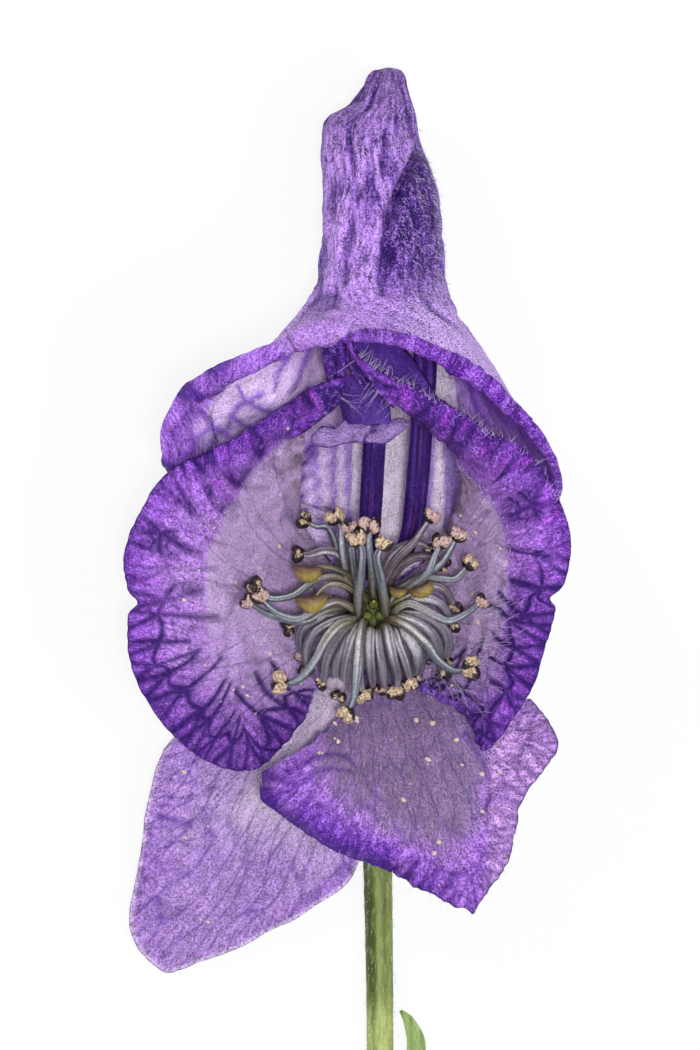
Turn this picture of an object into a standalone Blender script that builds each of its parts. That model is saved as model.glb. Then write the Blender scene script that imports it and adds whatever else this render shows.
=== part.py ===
"""A monkshood flower (Aconitum) lying on its back: a hood, two lateral sepals, two lower
sepals, two nectaries, the stamens and carpels, on a cut pedicel with one bracteole.

Numbers are in millimetres. +Y points to the tip of the hood, +X to the right of someone
who looks into the flower, +Z out of its face. The flower rests on z = 0.
"""

import math

import bmesh
import bpy
import numpy as np

MM = 0.001

# Receptacle: the knob at the end of the pedicel that carries every other piece.
CENTRE = np.array([1.3, -0.7])
KNOB_TOP = 5.15
CLAW_RADIUS = 1.5
SEPAL_THICKNESS = 0.28

# Pedicel: centre line as (x, y, z, radius), from the top of the receptacle to the cut end.
PEDICEL = [
    (1.3, -0.7, KNOB_TOP, 0.72),
    (1.3, -0.7, 5.0, 0.98),
    (1.3, -0.7, 4.75, 1.12),
    (1.3, -0.7, 4.3, 1.22),
    (1.3, -0.7, 3.7, 1.2),
    (1.3, -0.7, 3.2, 0.95),
    (1.3, -0.75, 2.75, 0.8),
    (1.3, -0.95, 2.25, 0.77),
    (1.3, -1.5, 1.75, 0.76),
    (1.3, -2.5, 1.45, 0.75),
    (1.35, -5.0, 1.2, 0.75),
    (1.4, -9.0, 0.95, 0.75),
    (1.5, -14.0, 0.78, 0.74),
    (1.6, -20.0, 0.7, 0.7),
    (1.65, -26.6, 0.69, 0.69),
]
BRACTEOLE = [
    (2.5, -25.2, 0.7),
    (3.1, -24.2, 0.75),
    (3.45, -22.6, 0.85),
    (3.1, -21.4, 0.9),
    (2.65, -20.8, 0.9),
]
BRACTEOLE_WIDTHS = (0.3, 0.8, 0.95, 0.6, 0.16)

# Hood above its brow: rings as (y, x left, x right, z back, z front). They are ellipses at
# squareness 1 and get more square below it.
HOOD_SQUARENESS = 0.88
HOOD_RINGS = [
    (26.6, 1.95, 2.35, 4.2, 4.6),
    (26.2, 1.4, 2.65, 3.5, 5.4),
    (25.4, 0.6, 3.05, 2.4, 6.5),
    (24.6, 0.0, 3.4, 1.7, 7.2),
    (23.9, -1.0, 3.55, 1.2, 7.7),
    (22.4, -1.15, 3.75, 0.7, 8.3),
    (20.2, -1.2, 4.5, 0.2, 9.0),
    (17.7, -1.4, 4.8, 0.05, 9.8),
    (15.2, -1.75, 5.05, 0.05, 10.8),
]
# Brow and mouth of the hood, one point for each meridian: counted from the middle of the
# back, round by the right, the front and the left.
HOOD_BROW = [
    (1.7, 9.7, 0.2),
    (2.8, 9.7, 0.25),
    (4.1, 9.8, 0.4),
    (5.6, 10.1, 1.0),
    (6.9, 10.4, 2.4),
    (7.8, 10.8, 4.3),
    (8.2, 11.2, 6.6),
    (8.2, 11.6, 8.8),
    (7.5, 12.2, 10.8),
    (6.0, 12.8, 12.4),
    (4.1, 13.4, 13.2),
    (2.1, 13.7, 13.4),
    (0.2, 13.8, 13.2),
    (-1.5, 13.8, 12.4),
    (-2.9, 13.3, 10.6),
    (-4.1, 12.4, 8.0),
    (-4.3, 11.3, 5.2),
    (-3.2, 10.3, 2.6),
    (-1.5, 9.8, 0.9),
    (0.2, 9.7, 0.3),
]
HOOD_MOUTH = [
    (1.45, 0.55, 2.8),
    (1.95, 0.8, 2.75),
    (3.4, 2.1, 2.5),
    (5.5, 2.7, 2.5),
    (7.9, 3.3, 3.7),
    (9.6, 4.3, 6.0),
    (10.4, 5.4, 8.4),
    (10.1, 6.8, 10.6),
    (9.1, 8.4, 12.8),
    (7.3, 10.1, 14.8),
    (5.4, 11.4, 15.9),
    (3.2, 12.4, 16.5),
    (1.2, 12.9, 16.6),
    (-0.9, 12.7, 16.2),
    (-2.9, 12.3, 15.4),
    (-5.5, 11.0, 14.2),
    (-7.5, 10.0, 12.8),
    (-8.9, 7.6, 11.0),
    (-7.2, 4.7, 6.6),
    (-1.2, 1.8, 2.6),
]
# How far the mouth's margin is turned back, for each meridian.
HOOD_LIP = [0, 0, 0, 0.1, 0.2, 0.2, 0.2, 0.25, 0.3, 0.4]
HOOD_LIP += [0.45, 0.5, 0.5, 0.85, 1.1, 1.2, 0.7, 0.3, 0.15, 0]
MOUTH_MIDDLE = (2.0, 6.0)

# Sepals: the outer margin and the fold where the cup turns into the rim, from one side of
# the claw round to the other.
LEFT_LATERAL_MARGIN = [
    (-0.3, 10.8, 12.3),
    (-1.7, 10.6, 12.6),
    (-3.2, 9.6, 12.3),
    (-5.2, 8.3, 11.9),
    (-7.1, 7.3, 11.3),
    (-9.4, 5.9, 10.6),
    (-11.1, 2.7, 10.2),
    (-11.0, -0.2, 9.9),
    (-10.8, -3.6, 9.5),
    (-8.8, -6.8, 8.9),
    (-6.6, -8.4, 8.2),
    (-4.3, -8.4, 7.7),
    (-2.1, -6.0, 7.0),
]
LEFT_LATERAL_FOLD = [
    (-2.1, 8.2, 10.9),
    (-3.2, 7.9, 11.5),
    (-4.5, 6.6, 11.3),
    (-5.4, 5.3, 11.1),
    (-6.3, 3.9, 10.9),
    (-7.0, 2.5, 10.6),
    (-7.2, 0.7, 10.1),
    (-7.2, -1.5, 9.5),
    (-6.8, -3.5, 8.9),
    (-5.8, -4.8, 8.3),
    (-4.5, -5.3, 7.7),
    (-3.2, -5.2, 7.1),
    (-1.7, -4.5, 6.4),
]
RIGHT_LATERAL_MARGIN = [
    (0.0, 12.2, 12.9),
    (1.3, 11.4, 13.1),
    (3.5, 10.5, 13.2),
    (5.7, 9.3, 13.0),
    (7.3, 8.2, 12.7),
    (8.8, 7.5, 12.1),
    (10.4, 5.2, 11.4),
    (11.2, 2.7, 10.9),
    (10.6, 0.1, 10.5),
    (10.0, -2.1, 10.2),
    (9.1, -4.7, 9.9),
    (6.9, -7.6, 9.6),
    (5.7, -6.0, 8.4),
    (3.8, -4.7, 7.0),
]
RIGHT_LATERAL_FOLD = [
    (5.5, 6.6, 10.5),
    (5.9, 6.2, 10.8),
    (6.3, 5.8, 10.9),
    (6.7, 5.3, 10.9),
    (7.2, 4.7, 10.9),
    (7.6, 3.9, 10.8),
    (7.9, 2.9, 10.5),
    (8.0, 1.3, 10.1),
    (8.0, -0.3, 9.7),
    (7.8, -2.0, 9.3),
    (7.4, -3.5, 8.9),
    (6.4, -4.7, 8.4),
    (5.4, -4.8, 7.6),
    (3.6, -4.1, 6.4),
]
LEFT_LOWER_MARGIN = [
    (-7.4, -5.7, 3.4),
    (-9.3, -7.7, 2.8),
    (-10.1, -10.3, 2.2),
    (-10.5, -13.2, 1.5),
    (-11.0, -16.7, 0.8),
    (-9.3, -18.8, 0.29),
    (-7.2, -18.3, 0.4),
    (-4.3, -17.0, 0.7),
    (-1.8, -15.6, 1.2),
    (0.4, -13.7, 1.7),
    (0.5, -10.1, 2.7),
]
LEFT_LOWER_FOLD = [
    (-4.3, -4.5, 3.6),
    (-6.0, -6.2, 3.4),
    (-7.1, -8.6, 2.9),
    (-7.4, -11.1, 2.4),
    (-7.2, -13.5, 1.9),
    (-6.2, -14.6, 1.6),
    (-4.7, -14.3, 1.7),
    (-2.9, -13.5, 2.0),
    (-1.5, -12.3, 2.3),
    (-0.4, -10.6, 2.7),
    (0.2, -8.1, 3.2),
]
RIGHT_LOWER_MARGIN = [
    (-4.3, -8.8, 8.8),
    (-4.3, -10.1, 8.4),
    (-2.6, -11.5, 7.8),
    (-0.4, -12.8, 7.1),
    (1.7, -13.5, 6.5),
    (3.9, -14.7, 5.7),
    (6.2, -15.4, 5.0),
    (8.0, -13.3, 5.0),
    (8.7, -10.3, 5.3),
    (10.6, -7.4, 5.0),
    (9.2, -5.0, 4.6),
]
RIGHT_LOWER_FOLD = [
    (-1.5, -7.0, 8.3),
    (-1.4, -7.9, 8.5),
    (-0.8, -9.3, 8.3),
    (0.5, -10.5, 7.7),
    (2.0, -11.4, 7.1),
    (3.7, -12.2, 6.5),
    (5.1, -12.6, 6.1),
    (6.2, -11.4, 5.9),
    (6.8, -9.3, 5.7),
    (7.6, -7.2, 5.2),
    (6.6, -5.1, 4.7),
]

# How each sepal rises from its claw, as sepal_grid explains; mesh is its rows and columns.
CUP_PARTS = (0.3, 0.6, 1.0)
SEPALS = {
    "lateral_sepal_left": {
        "margin": LEFT_LATERAL_MARGIN,
        "fold": LEFT_LATERAL_FOLD,
        "claw_azimuths": (128, 205),
        "claw_z": 4.0,
        "roll": 0.7,
        "hollow": 1.8,
        "bulge": 1.5,
        "mesh": (12, 24),
        "clockwise": True,
    },
    "lateral_sepal_right": {
        "margin": RIGHT_LATERAL_MARGIN,
        "fold": RIGHT_LATERAL_FOLD,
        "claw_azimuths": (52, -25),
        "claw_z": 4.0,
        "roll": 0.7,
        "hollow": 1.8,
        "bulge": -1.1,
        "mesh": (12, 24),
        "clockwise": False,
    },
    "lower_sepal_left": {
        "margin": LEFT_LOWER_MARGIN,
        "fold": LEFT_LOWER_FOLD,
        "claw_azimuths": (212, 262),
        "claw_z": 3.5,
        "roll": 0.15,
        "hollow": 1.0,
        "bulge": 0.0,
        "mesh": (10, 18),
        "clockwise": True,
    },
    "lower_sepal_right": {
        "margin": RIGHT_LOWER_MARGIN,
        "fold": RIGHT_LOWER_FOLD,
        "claw_azimuths": (276, 325),
        "claw_z": 3.7,
        "roll": 0.5,
        "hollow": 1.5,
        "bulge": 0.8,
        "mesh": (10, 20),
        "clockwise": True,
    },
}

# Nectaries: centre line of the claw, the bent head and its lip, as (x, y, z, width).
NECTARY_THICKNESS = 0.3
LEFT_NECTARY = [
    (0.95, 0.95, 3.95, 0.5),
    (1.0, 2.0, 4.4, 0.8),
    (1.1, 4.0, 5.0, 1.1),
    (1.25, 6.5, 5.7, 1.1),
    (1.4, 9.0, 6.4, 1.2),
    (1.3, 10.5, 7.2, 1.6),
    (1.0, 10.9, 8.1, 2.0),
    (0.8, 10.2, 8.9, 2.2),
    (0.7, 9.2, 9.3, 2.8),
    (0.6, 8.4, 9.5, 4.0),
]
RIGHT_NECTARY = [
    (1.9, 0.85, 3.95, 0.5),
    (2.6, 2.0, 4.4, 0.8),
    (3.2, 3.4, 4.8, 1.0),
    (3.5, 6.0, 5.5, 1.1),
    (3.7, 9.0, 6.2, 1.1),
    (3.8, 11.4, 7.2, 1.4),
    (3.5, 12.5, 8.6, 2.4),
    (2.8, 12.4, 10.1, 3.6),
    (2.4, 11.3, 11.0, 4.2),
    (2.3, 10.1, 11.0, 3.4),
]

CARPEL_AZIMUTHS = (90, 210, 330)
CARPEL_RING = 0.36
CARPEL = [(0.1, 0.2), (0.5, 0.25), (1.0, 0.26), (1.5, 0.2), (1.9, 0.1), (2.4, 0.06)]

# Stamens stand on three whorls, each given as (radius, z) on the receptacle.
WHORLS = ((0.85, 5.3), (1.2, 4.95), (1.5, 4.5))
FILAMENT_RADII = (0.2, 0.18, 0.16, 0.15, 0.14, 0.13, 0.12)
ANTHER = [(0.1, 0.25), (0.3, 0.4), (0.55, 0.4), (0.75, 0.2)]
ANTHER_LENGTH = 0.8
# Each stamen as (azimuth of its foot, middle of its anther, rise of the filament at the
# foot, height from which the filament comes down on the anther).
INNER_STAMENS = [
    (18, (3.6, 0.6, 8.4), 1.8, 0.6),
    (50, (2.5, 0.6, 8.5), 2.2, -0.5),
    (82, (1.8, 2.7, 11.6), 3.0, -1.5),
    (114, (0.5, 3.0, 11.4), 3.0, -1.5),
    (158, (-1.7, -0.1, 8.8), 2.4, 0.8),
    (190, (-4.2, 0.0, 9.4), 2.6, 0.2),
    (220, (-3.5, -4.2, 9.0), 2.8, 1.4),
    (252, (-0.2, -5.8, 9.4), 3.0, 1.8),
    (286, (2.5, -4.8, 7.8), 2.8, 2.4),
    (330, (6.2, -3.5, 9.2), 2.8, 0.9),
]
MIDDLE_STAMENS = [
    (-2, (6.6, -0.1, 8.8), 2.0, 0.0),
    (34, (4.7, 2.9, 10.0), 2.2, -0.8),
    (58, (4.0, 4.1, 9.5), 2.4, -0.8),
    (82, (1.3, 3.7, 10.5), 2.6, -1.2),
    (106, (0.0, 3.7, 9.6), 2.6, -1.0),
    (150, (-2.0, 1.4, 8.0), 2.0, 0.4),
    (174, (-4.7, 0.7, 8.6), 2.0, 0.0),
    (198, (-3.0, -1.5, 7.0), 2.2, 1.4),
    (220, (-2.3, -3.5, 6.9), 2.2, 2.0),
    (243, (-0.6, -4.9, 7.0), 2.2, 2.2),
    (266, (0.8, -4.9, 7.2), 2.2, 2.2),
    (290, (3.1, -4.2, 7.0), 2.2, 2.0),
    (318, (4.7, -4.0, 7.4), 2.2, 1.6),
]
OUTER_STAMENS = [
    (-32, (5.2, -1.7, 6.4), 1.2, 1.0),
    (-12, (5.2, -0.7, 6.2), 1.2, 1.0),
    (7, (5.3, 0.8, 6.4), 1.2, 1.0),
    (26, (6.1, 1.8, 8.6), 1.0, -0.4),
    (45, (5.5, 3.1, 9.0), 1.0, -0.8),
    (64, (3.9, 3.1, 8.0), 1.0, 0.2),
    (106, (-0.7, 4.1, 8.6), 1.2, -1.0),
    (126, (-2.2, 3.9, 7.6), 1.0, 0.2),
    (146, (-2.6, 2.1, 7.0), 1.0, 0.6),
    (170, (-5.1, -0.2, 8.0), 1.0, 0.0),
    (190, (-3.6, -0.6, 6.0), 1.0, 1.0),
    (210, (-2.2, -2.9, 5.7), 1.0, 1.6),
    (230, (-1.5, -3.9, 6.6), 1.2, 1.6),
    (250, (0.1, -4.0, 5.6), 1.0, 1.6),
    (280, (2.6, -5.7, 6.2), 1.0, 1.6),
    (300, (3.9, -3.4, 6.2), 1.0, 1.6),
    (316, (5.2, -2.9, 6.4), 1.0, 1.4),
]

VIOLET = (0.10, 0.025, 0.36)
LAVENDER = (0.42, 0.33, 0.66)
INDIGO = (0.035, 0.012, 0.18)
GREY_GREEN = (0.20, 0.25, 0.24)
GREEN = (0.13, 0.24, 0.06)
PALE_GREEN = (0.26, 0.42, 0.14)


def clear_scene():
    for item in list(bpy.data.objects):
        bpy.data.objects.remove(item)


def make_collection(name):
    collection = bpy.data.collections.new(name)
    bpy.context.scene.collection.children.link(collection)
    return collection


def make_material(name, colour, roughness=0.55):
    material = bpy.data.materials.new(name)
    material.use_nodes = True
    shader = material.node_tree.nodes["Principled BSDF"]
    shader.inputs["Base Color"].default_value = (*colour, 1.0)
    shader.inputs["Roughness"].default_value = roughness
    shader.inputs["Metallic"].default_value = 0.0
    material.diffuse_color = (*colour, 1.0)
    return material


def smooth_through(points, count, closed=False):
    """Points on the Catmull-Rom curve, or rows on the surface, through the given ones."""
    points = np.asarray(points, float)
    if closed:
        padded = np.concatenate([points[-1:], points, points[:2]])
        spans = len(points)
    else:
        before = 2 * points[:1] - points[1:2]
        after = 2 * points[-1:] - points[-2:-1]
        padded = np.concatenate([before, points, after])
        spans = len(points) - 1
    along = np.linspace(0, spans, count, endpoint=not closed)
    span = np.minimum(along.astype(int), spans - 1)
    t = (along - span).reshape((-1,) + (1,) * (points.ndim - 1))
    a, b, c, d = (padded[span + step] for step in range(4))
    return b + 0.5 * t * (c - a + t * (2 * a - 5 * b + 4 * c - d + t * (3 * (b - c) + d - a)))


def smooth_surface(curves, rows, columns, closed=False):
    """A grid of points on the smooth surface through curves with as many points each."""
    lengthwise = smooth_through(curves, rows)
    return smooth_through(lengthwise.swapaxes(0, 1), columns, closed).swapaxes(0, 1)


def add_object(collection, name, data, material):
    item = bpy.data.objects.new(name, data)
    collection.objects.link(item)
    data.materials.append(material)
    return item


def make_sheet(collection, name, grid, material, closed=False, capped=False):
    """A curved sheet of even thickness. The grid is its outer side, seen with the rows going
    down and the columns going to the left."""
    rows, columns = grid.shape[:2]
    bm = bmesh.new()
    verts = [[bm.verts.new(point * MM) for point in row] for row in grid]
    for i in range(rows - 1):
        for j in range(columns if closed else columns - 1):
            k = (j + 1) % columns
            bm.faces.new((verts[i][j], verts[i][k], verts[i + 1][k], verts[i + 1][j]))
    if capped:
        bm.faces.new(reversed(verts[0]))
    mesh = bpy.data.meshes.new(name)
    bm.to_mesh(mesh)
    bm.free()
    mesh.shade_smooth()
    item = add_object(collection, name, mesh, material)
    solidify = item.modifiers.new("thickness", "SOLIDIFY")
    solidify.thickness = SEPAL_THICKNESS * MM
    solidify.offset = -1
    return item


def make_tube(collection, name, line, radii, material, sides=6):
    """A round tube along a line of points, with a radius at each point."""
    curve = bpy.data.curves.new(name, "CURVE")
    curve.dimensions = "3D"
    curve.bevel_depth = MM
    curve.bevel_resolution = (sides - 4) // 2
    curve.use_fill_caps = True
    spline = curve.splines.new("POLY")
    spline.points.add(len(line) - 1)
    for point, place, radius in zip(spline.points, line, radii):
        point.co = (*(np.asarray(place) * MM), 1.0)
        point.radius = radius
    spline.use_smooth = True
    return add_object(collection, name, curve, material)


def make_ribbon(collection, name, line, widths, thickness, material, sides=8):
    """A closed loft of flat oval sections, wide along X, along a line in space."""
    line = np.asarray(line, float)
    bm = bmesh.new()
    rings = []
    for place, along, width in zip(line, np.gradient(line, axis=0), widths):
        across = np.array([1.0, 0.0, 0.0])
        across -= along * across.dot(along) / along.dot(along)
        across /= np.linalg.norm(across)
        outward = np.cross(across, along)
        outward /= np.linalg.norm(outward)
        ring = []
        for step in range(sides):
            angle = math.tau * step / sides
            offset = across * width / 2 * math.cos(angle) + outward * thickness / 2 * math.sin(angle)
            ring.append(bm.verts.new((place + offset) * MM))
        rings.append(ring)
    for one, two in zip(rings, rings[1:]):
        for step in range(sides):
            after = (step + 1) % sides
            bm.faces.new((one[step], one[after], two[after], two[step]))
    bm.faces.new(reversed(rings[0]))
    bm.faces.new(rings[-1])
    bmesh.ops.recalc_face_normals(bm, faces=bm.faces)
    mesh = bpy.data.meshes.new(name)
    bm.to_mesh(mesh)
    bm.free()
    mesh.shade_smooth()
    return add_object(collection, name, mesh, material)


def on_circle(azimuth, radius, z):
    angle = math.radians(azimuth)
    return np.array([CENTRE[0] + radius * math.cos(angle), CENTRE[1] + radius * math.sin(angle), z])


def hood_ring(y, left, right, back, front, count):
    """A rounded section of the hood, from the middle of its back round by the right."""
    angles = np.radians(-90 + 360 * np.arange(count) / count)
    across, deep = np.cos(angles), np.sin(angles)
    across = np.sign(across) * np.abs(across) ** HOOD_SQUARENESS
    deep = np.sign(deep) * np.abs(deep) ** HOOD_SQUARENESS
    x = (left + right) / 2 + (right - left) / 2 * across
    z = (back + front) / 2 + (front - back) / 2 * deep
    return np.stack([x, np.full(count, y), z], axis=1)


def hood_grid(rows, columns):
    """The hood from its tip down to the margin of its mouth, which is turned back."""
    mouth = np.array(HOOD_MOUTH)
    outward = mouth[:, :2] - MOUTH_MIDDLE
    outward /= np.linalg.norm(outward, axis=1, keepdims=True)
    lip = np.array(HOOD_LIP)[:, None]
    roll = np.hstack([outward * lip * 0.4, lip * 0.3])
    edge = np.hstack([outward * lip, -lip * 0.2])
    rings = [hood_ring(*ring, len(mouth)) for ring in HOOD_RINGS]
    curves = [*rings, HOOD_BROW, mouth, mouth + roll, mouth + edge]
    return smooth_surface(curves, rows, columns, closed=True)


def sepal_grid(name, rows, columns):
    """A sepal from its claw out to its margin. The cup between the claw and the fold rises
    as the power hollow of the way, the rim beyond the fold is arched by roll, and bulge
    bends the first side of the cup sideways."""
    sepal = SEPALS[name]
    margin, fold = np.array(sepal["margin"]), np.array(sepal["fold"])
    claw_z = sepal["claw_z"]
    azimuths = np.linspace(*sepal["claw_azimuths"], len(margin))
    claw = np.array([on_circle(azimuth, CLAW_RADIUS, claw_z) for azimuth in azimuths])
    sideways = np.stack([claw[:, 1] - fold[:, 1], fold[:, 0] - claw[:, 0], 0 * fold[:, 0]], axis=1)
    sideways /= np.linalg.norm(sideways, axis=1, keepdims=True)
    fade = np.linspace(1, 0, len(margin))[:, None] ** 3
    curves = [claw]
    for part in CUP_PARTS:
        curve = claw + (fold - claw) * part
        curve[:, 2] = claw_z + (fold[:, 2] - claw_z) * part ** sepal["hollow"]
        curves.append(curve + sideways * sepal["bulge"] * fade * math.sin(math.pi * part))
    crest = (fold + margin) / 2 + np.array([0, 0, sepal["roll"]])
    return smooth_surface([*curves, crest, margin], rows, columns)


def filament_line(foot, anther, rise, drop, count):
    """The filament's centre line: up from its foot, then over and onto the anther."""
    spread = np.array([*(foot[:2] - CENTRE), 0.0]) * 0.35
    above = anther + (foot - anther) * np.array([0.3, 0.3, 0.0]) + np.array([0, 0, drop])
    t = np.linspace(0, 1, count)[:, None]
    pull = foot + spread + np.array([0, 0, rise])
    return foot * (1 - t) ** 3 + pull * 3 * t * (1 - t) ** 2 + above * 3 * t**2 * (1 - t) + anther * t**3


def make_stamen(collection, name, foot, anther, rise, drop, material):
    """A filament that widens to its foot, with the anther on its end."""
    line = filament_line(foot, np.array(anther), rise, drop, len(FILAMENT_RADII) + 1)
    end = line[-1] - line[-2]
    end /= np.linalg.norm(end)
    filament = line[:-1]
    start = line[-1] - end * ANTHER_LENGTH / 2
    tip = [start + end * along for along, radius in ANTHER]
    radii = [*FILAMENT_RADII, *(radius for along, radius in ANTHER)]
    return make_tube(collection, name, [*filament, *tip], radii, material)


def build_hood(collection):
    grid = hood_grid(rows=24, columns=32)
    make_sheet(collection, "hood", grid, make_material("hood", VIOLET), closed=True, capped=True)


def build_sepals(collection):
    materials = {
        "lateral": make_material("lateral_sepals", VIOLET),
        "lower": make_material("lower_sepals", LAVENDER),
    }
    for name, sepal in SEPALS.items():
        grid = sepal_grid(name, *sepal["mesh"])
        if sepal["clockwise"]:
            grid = grid[:, ::-1]
        make_sheet(collection, name, grid, materials[name.split("_")[0]])


def build_nectaries(collection):
    material = make_material("nectaries", INDIGO, 0.45)
    for name, sections in (("nectary_left", LEFT_NECTARY), ("nectary_right", RIGHT_NECTARY)):
        smooth = smooth_through(sections, 19)
        make_ribbon(collection, name, smooth[:, :3], smooth[:, 3], NECTARY_THICKNESS, material)


def build_carpels(collection):
    material = make_material("carpels", GREEN)
    for number, azimuth in enumerate(CARPEL_AZIMUTHS, 1):
        line = [on_circle(azimuth, CARPEL_RING, KNOB_TOP + height) for height, radius in CARPEL]
        make_tube(collection, f"carpel_{number}", line, [radius for height, radius in CARPEL], material)


def build_stamens(collection):
    material = make_material("stamens", GREY_GREEN)
    number = 0
    for (radius, z), stamens in zip(WHORLS, (INNER_STAMENS, MIDDLE_STAMENS, OUTER_STAMENS)):
        for azimuth, anther, rise, drop in stamens:
            number += 1
            foot = on_circle(azimuth, radius, z)
            make_stamen(collection, f"stamen_{number:02d}", foot, anther, rise, drop, material)


def build_stem(collection):
    green = make_material("pedicel", GREEN)
    sections = np.array(PEDICEL)
    make_tube(collection, "pedicel", sections[:, :3], sections[:, 3], green, sides=12)
    smooth = smooth_through([(*place, width) for place, width in zip(BRACTEOLE, BRACTEOLE_WIDTHS)], 11)
    pale = make_material("bracteole", PALE_GREEN)
    make_ribbon(collection, "bracteole", smooth[:, :3], smooth[:, 3], NECTARY_THICKNESS, pale)


def main():
    clear_scene()
    flower = make_collection("monkshood_flower")
    build_hood(flower)
    build_sepals(flower)
    build_nectaries(flower)
    build_carpels(flower)
    build_stamens(flower)
    build_stem(flower)


main()
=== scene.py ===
import itertools
import math

import bpy
import numpy as np
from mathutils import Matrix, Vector


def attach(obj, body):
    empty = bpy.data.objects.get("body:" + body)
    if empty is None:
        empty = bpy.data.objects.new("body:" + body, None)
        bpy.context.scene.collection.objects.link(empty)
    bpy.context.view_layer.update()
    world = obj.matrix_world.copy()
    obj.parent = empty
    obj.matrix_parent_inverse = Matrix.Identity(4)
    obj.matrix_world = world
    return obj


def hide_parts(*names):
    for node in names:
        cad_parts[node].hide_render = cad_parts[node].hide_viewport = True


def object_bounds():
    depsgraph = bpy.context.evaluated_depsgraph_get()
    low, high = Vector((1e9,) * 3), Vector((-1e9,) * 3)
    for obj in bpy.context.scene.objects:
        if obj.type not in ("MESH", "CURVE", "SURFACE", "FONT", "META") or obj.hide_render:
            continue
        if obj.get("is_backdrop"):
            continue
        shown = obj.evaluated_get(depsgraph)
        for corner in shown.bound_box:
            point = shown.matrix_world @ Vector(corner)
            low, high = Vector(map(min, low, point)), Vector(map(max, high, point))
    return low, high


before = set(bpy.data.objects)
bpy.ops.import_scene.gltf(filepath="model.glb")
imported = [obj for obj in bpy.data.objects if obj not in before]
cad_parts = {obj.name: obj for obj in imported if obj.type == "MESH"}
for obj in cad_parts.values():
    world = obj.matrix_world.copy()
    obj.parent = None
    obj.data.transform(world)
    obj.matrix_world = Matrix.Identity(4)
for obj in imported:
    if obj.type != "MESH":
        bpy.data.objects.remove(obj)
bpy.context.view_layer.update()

MM = 0.001
CENTRE = np.array([1.3, -0.7])
KNOB_TOP = 5.15
CLAW_RADIUS = 1.24

# Hood above its brow: rings as (y, x left, x right, z back, z front).
HOOD_SQUARENESS = 0.88
HOOD_RINGS = [
    (26.6, 1.75, 2.4, 4.0, 4.8), (26.35, 1.15, 2.75, 3.3, 5.5), (25.4, 0.6, 3.05, 2.4, 6.5),
    (24.6, 0.0, 3.4, 1.7, 7.2), (23.9, -1.0, 3.55, 1.2, 7.7), (22.4, -1.15, 3.75, 0.7, 8.3),
    (20.2, -1.2, 4.5, 0.2, 9.0), (17.7, -1.4, 4.8, 0.05, 9.8), (15.2, -1.75, 5.05, 0.05, 10.8),
]
# Brow and mouth of the hood, one point for each meridian: counted from the middle of the
# back, round by the right, the front and the left.
HOOD_BROW = [
    (1.7, 9.7, 0.2), (2.8, 9.7, 0.25), (4.1, 9.8, 0.4), (5.6, 10.1, 1.0), (6.9, 10.4, 2.4),
    (7.4, 10.8, 4.3), (7.5, 11.3, 6.6), (7.1, 11.8, 8.8), (6.4, 12.5, 10.8), (5.4, 13.0, 12.4),
    (4.1, 13.4, 13.2), (2.1, 13.7, 13.4), (0.2, 13.8, 13.2), (-1.5, 13.8, 12.8), (-2.9, 13.3, 12.4),
    (-4.1, 12.4, 11.6), (-4.3, 11.3, 10.6), (-3.2, 10.3, 8.6), (-1.5, 9.8, 3.6), (0.2, 9.7, 0.3),
]
HOOD_MOUTH = [
    (1.45, 0.4, 2.7), (2.3, 0.3, 2.7), (3.4, 1.6, 2.5), (5.5, 2.7, 2.5), (7.9, 3.3, 3.7),
    (9.6, 4.3, 6.0), (10.4, 5.4, 8.4), (10.1, 6.8, 10.6), (9.1, 8.4, 12.8), (7.3, 10.1, 14.8),
    (5.4, 11.4, 15.9), (3.2, 12.4, 16.5), (1.2, 12.9, 16.6), (-0.9, 12.7, 16.2), (-2.9, 12.3, 15.4),
    (-5.5, 11.0, 14.2), (-7.5, 10.0, 12.8), (-8.9, 7.6, 11.0), (-7.2, 4.7, 6.6), (-0.8, 1.1, 2.6),
]
# How far the mouth's margin is turned back, as pairs of a meridian and a width.
HOOD_LIP = [
    (0, 0.0), (3, 0.1), (7, 0.25), (9, 0.38), (10.5, 0.5), (11.6, 0.48), (12.2, 0.36),
    (12.42, 0.32), (12.6, 0.7), (12.9, 0.98), (13.3, 1.05), (13.7, 0.85), (14.0, 0.55),
    (14.4, 0.75), (15, 1.0), (16, 0.75), (17, 0.35), (18, 0.15), (20, 0.0),
]
LIP_STEPS = 14
MOUTH_MIDDLE = (2.0, 6.0)

# Sepals: the outer margin and the fold where the cup turns into the rim, from one side of
# the claw round to the other.
LEFT_LATERAL_MARGIN = [
    (-0.3, 10.8, 12.3), (-1.7, 10.6, 12.6), (-3.2, 9.6, 12.3), (-5.2, 8.3, 11.9), (-7.1, 7.3, 11.3),
    (-9.4, 5.9, 10.6), (-11.1, 2.7, 10.2), (-11.0, -0.2, 9.9), (-10.8, -3.6, 9.5),
    (-8.8, -6.8, 8.9), (-6.6, -8.4, 8.2), (-4.3, -8.4, 7.7), (-2.1, -6.0, 7.0),
]
LEFT_LATERAL_FOLD = [
    (-2.1, 8.2, 10.9), (-3.2, 7.9, 11.5), (-4.5, 6.6, 11.3), (-5.4, 5.3, 11.1), (-6.3, 3.9, 10.9),
    (-7.0, 2.5, 10.6), (-7.2, 0.7, 10.1), (-7.2, -1.5, 9.5), (-6.8, -3.5, 8.9), (-5.8, -4.8, 8.3),
    (-4.5, -5.3, 7.7), (-3.2, -5.2, 7.1), (-1.7, -4.5, 6.4),
]
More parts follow.
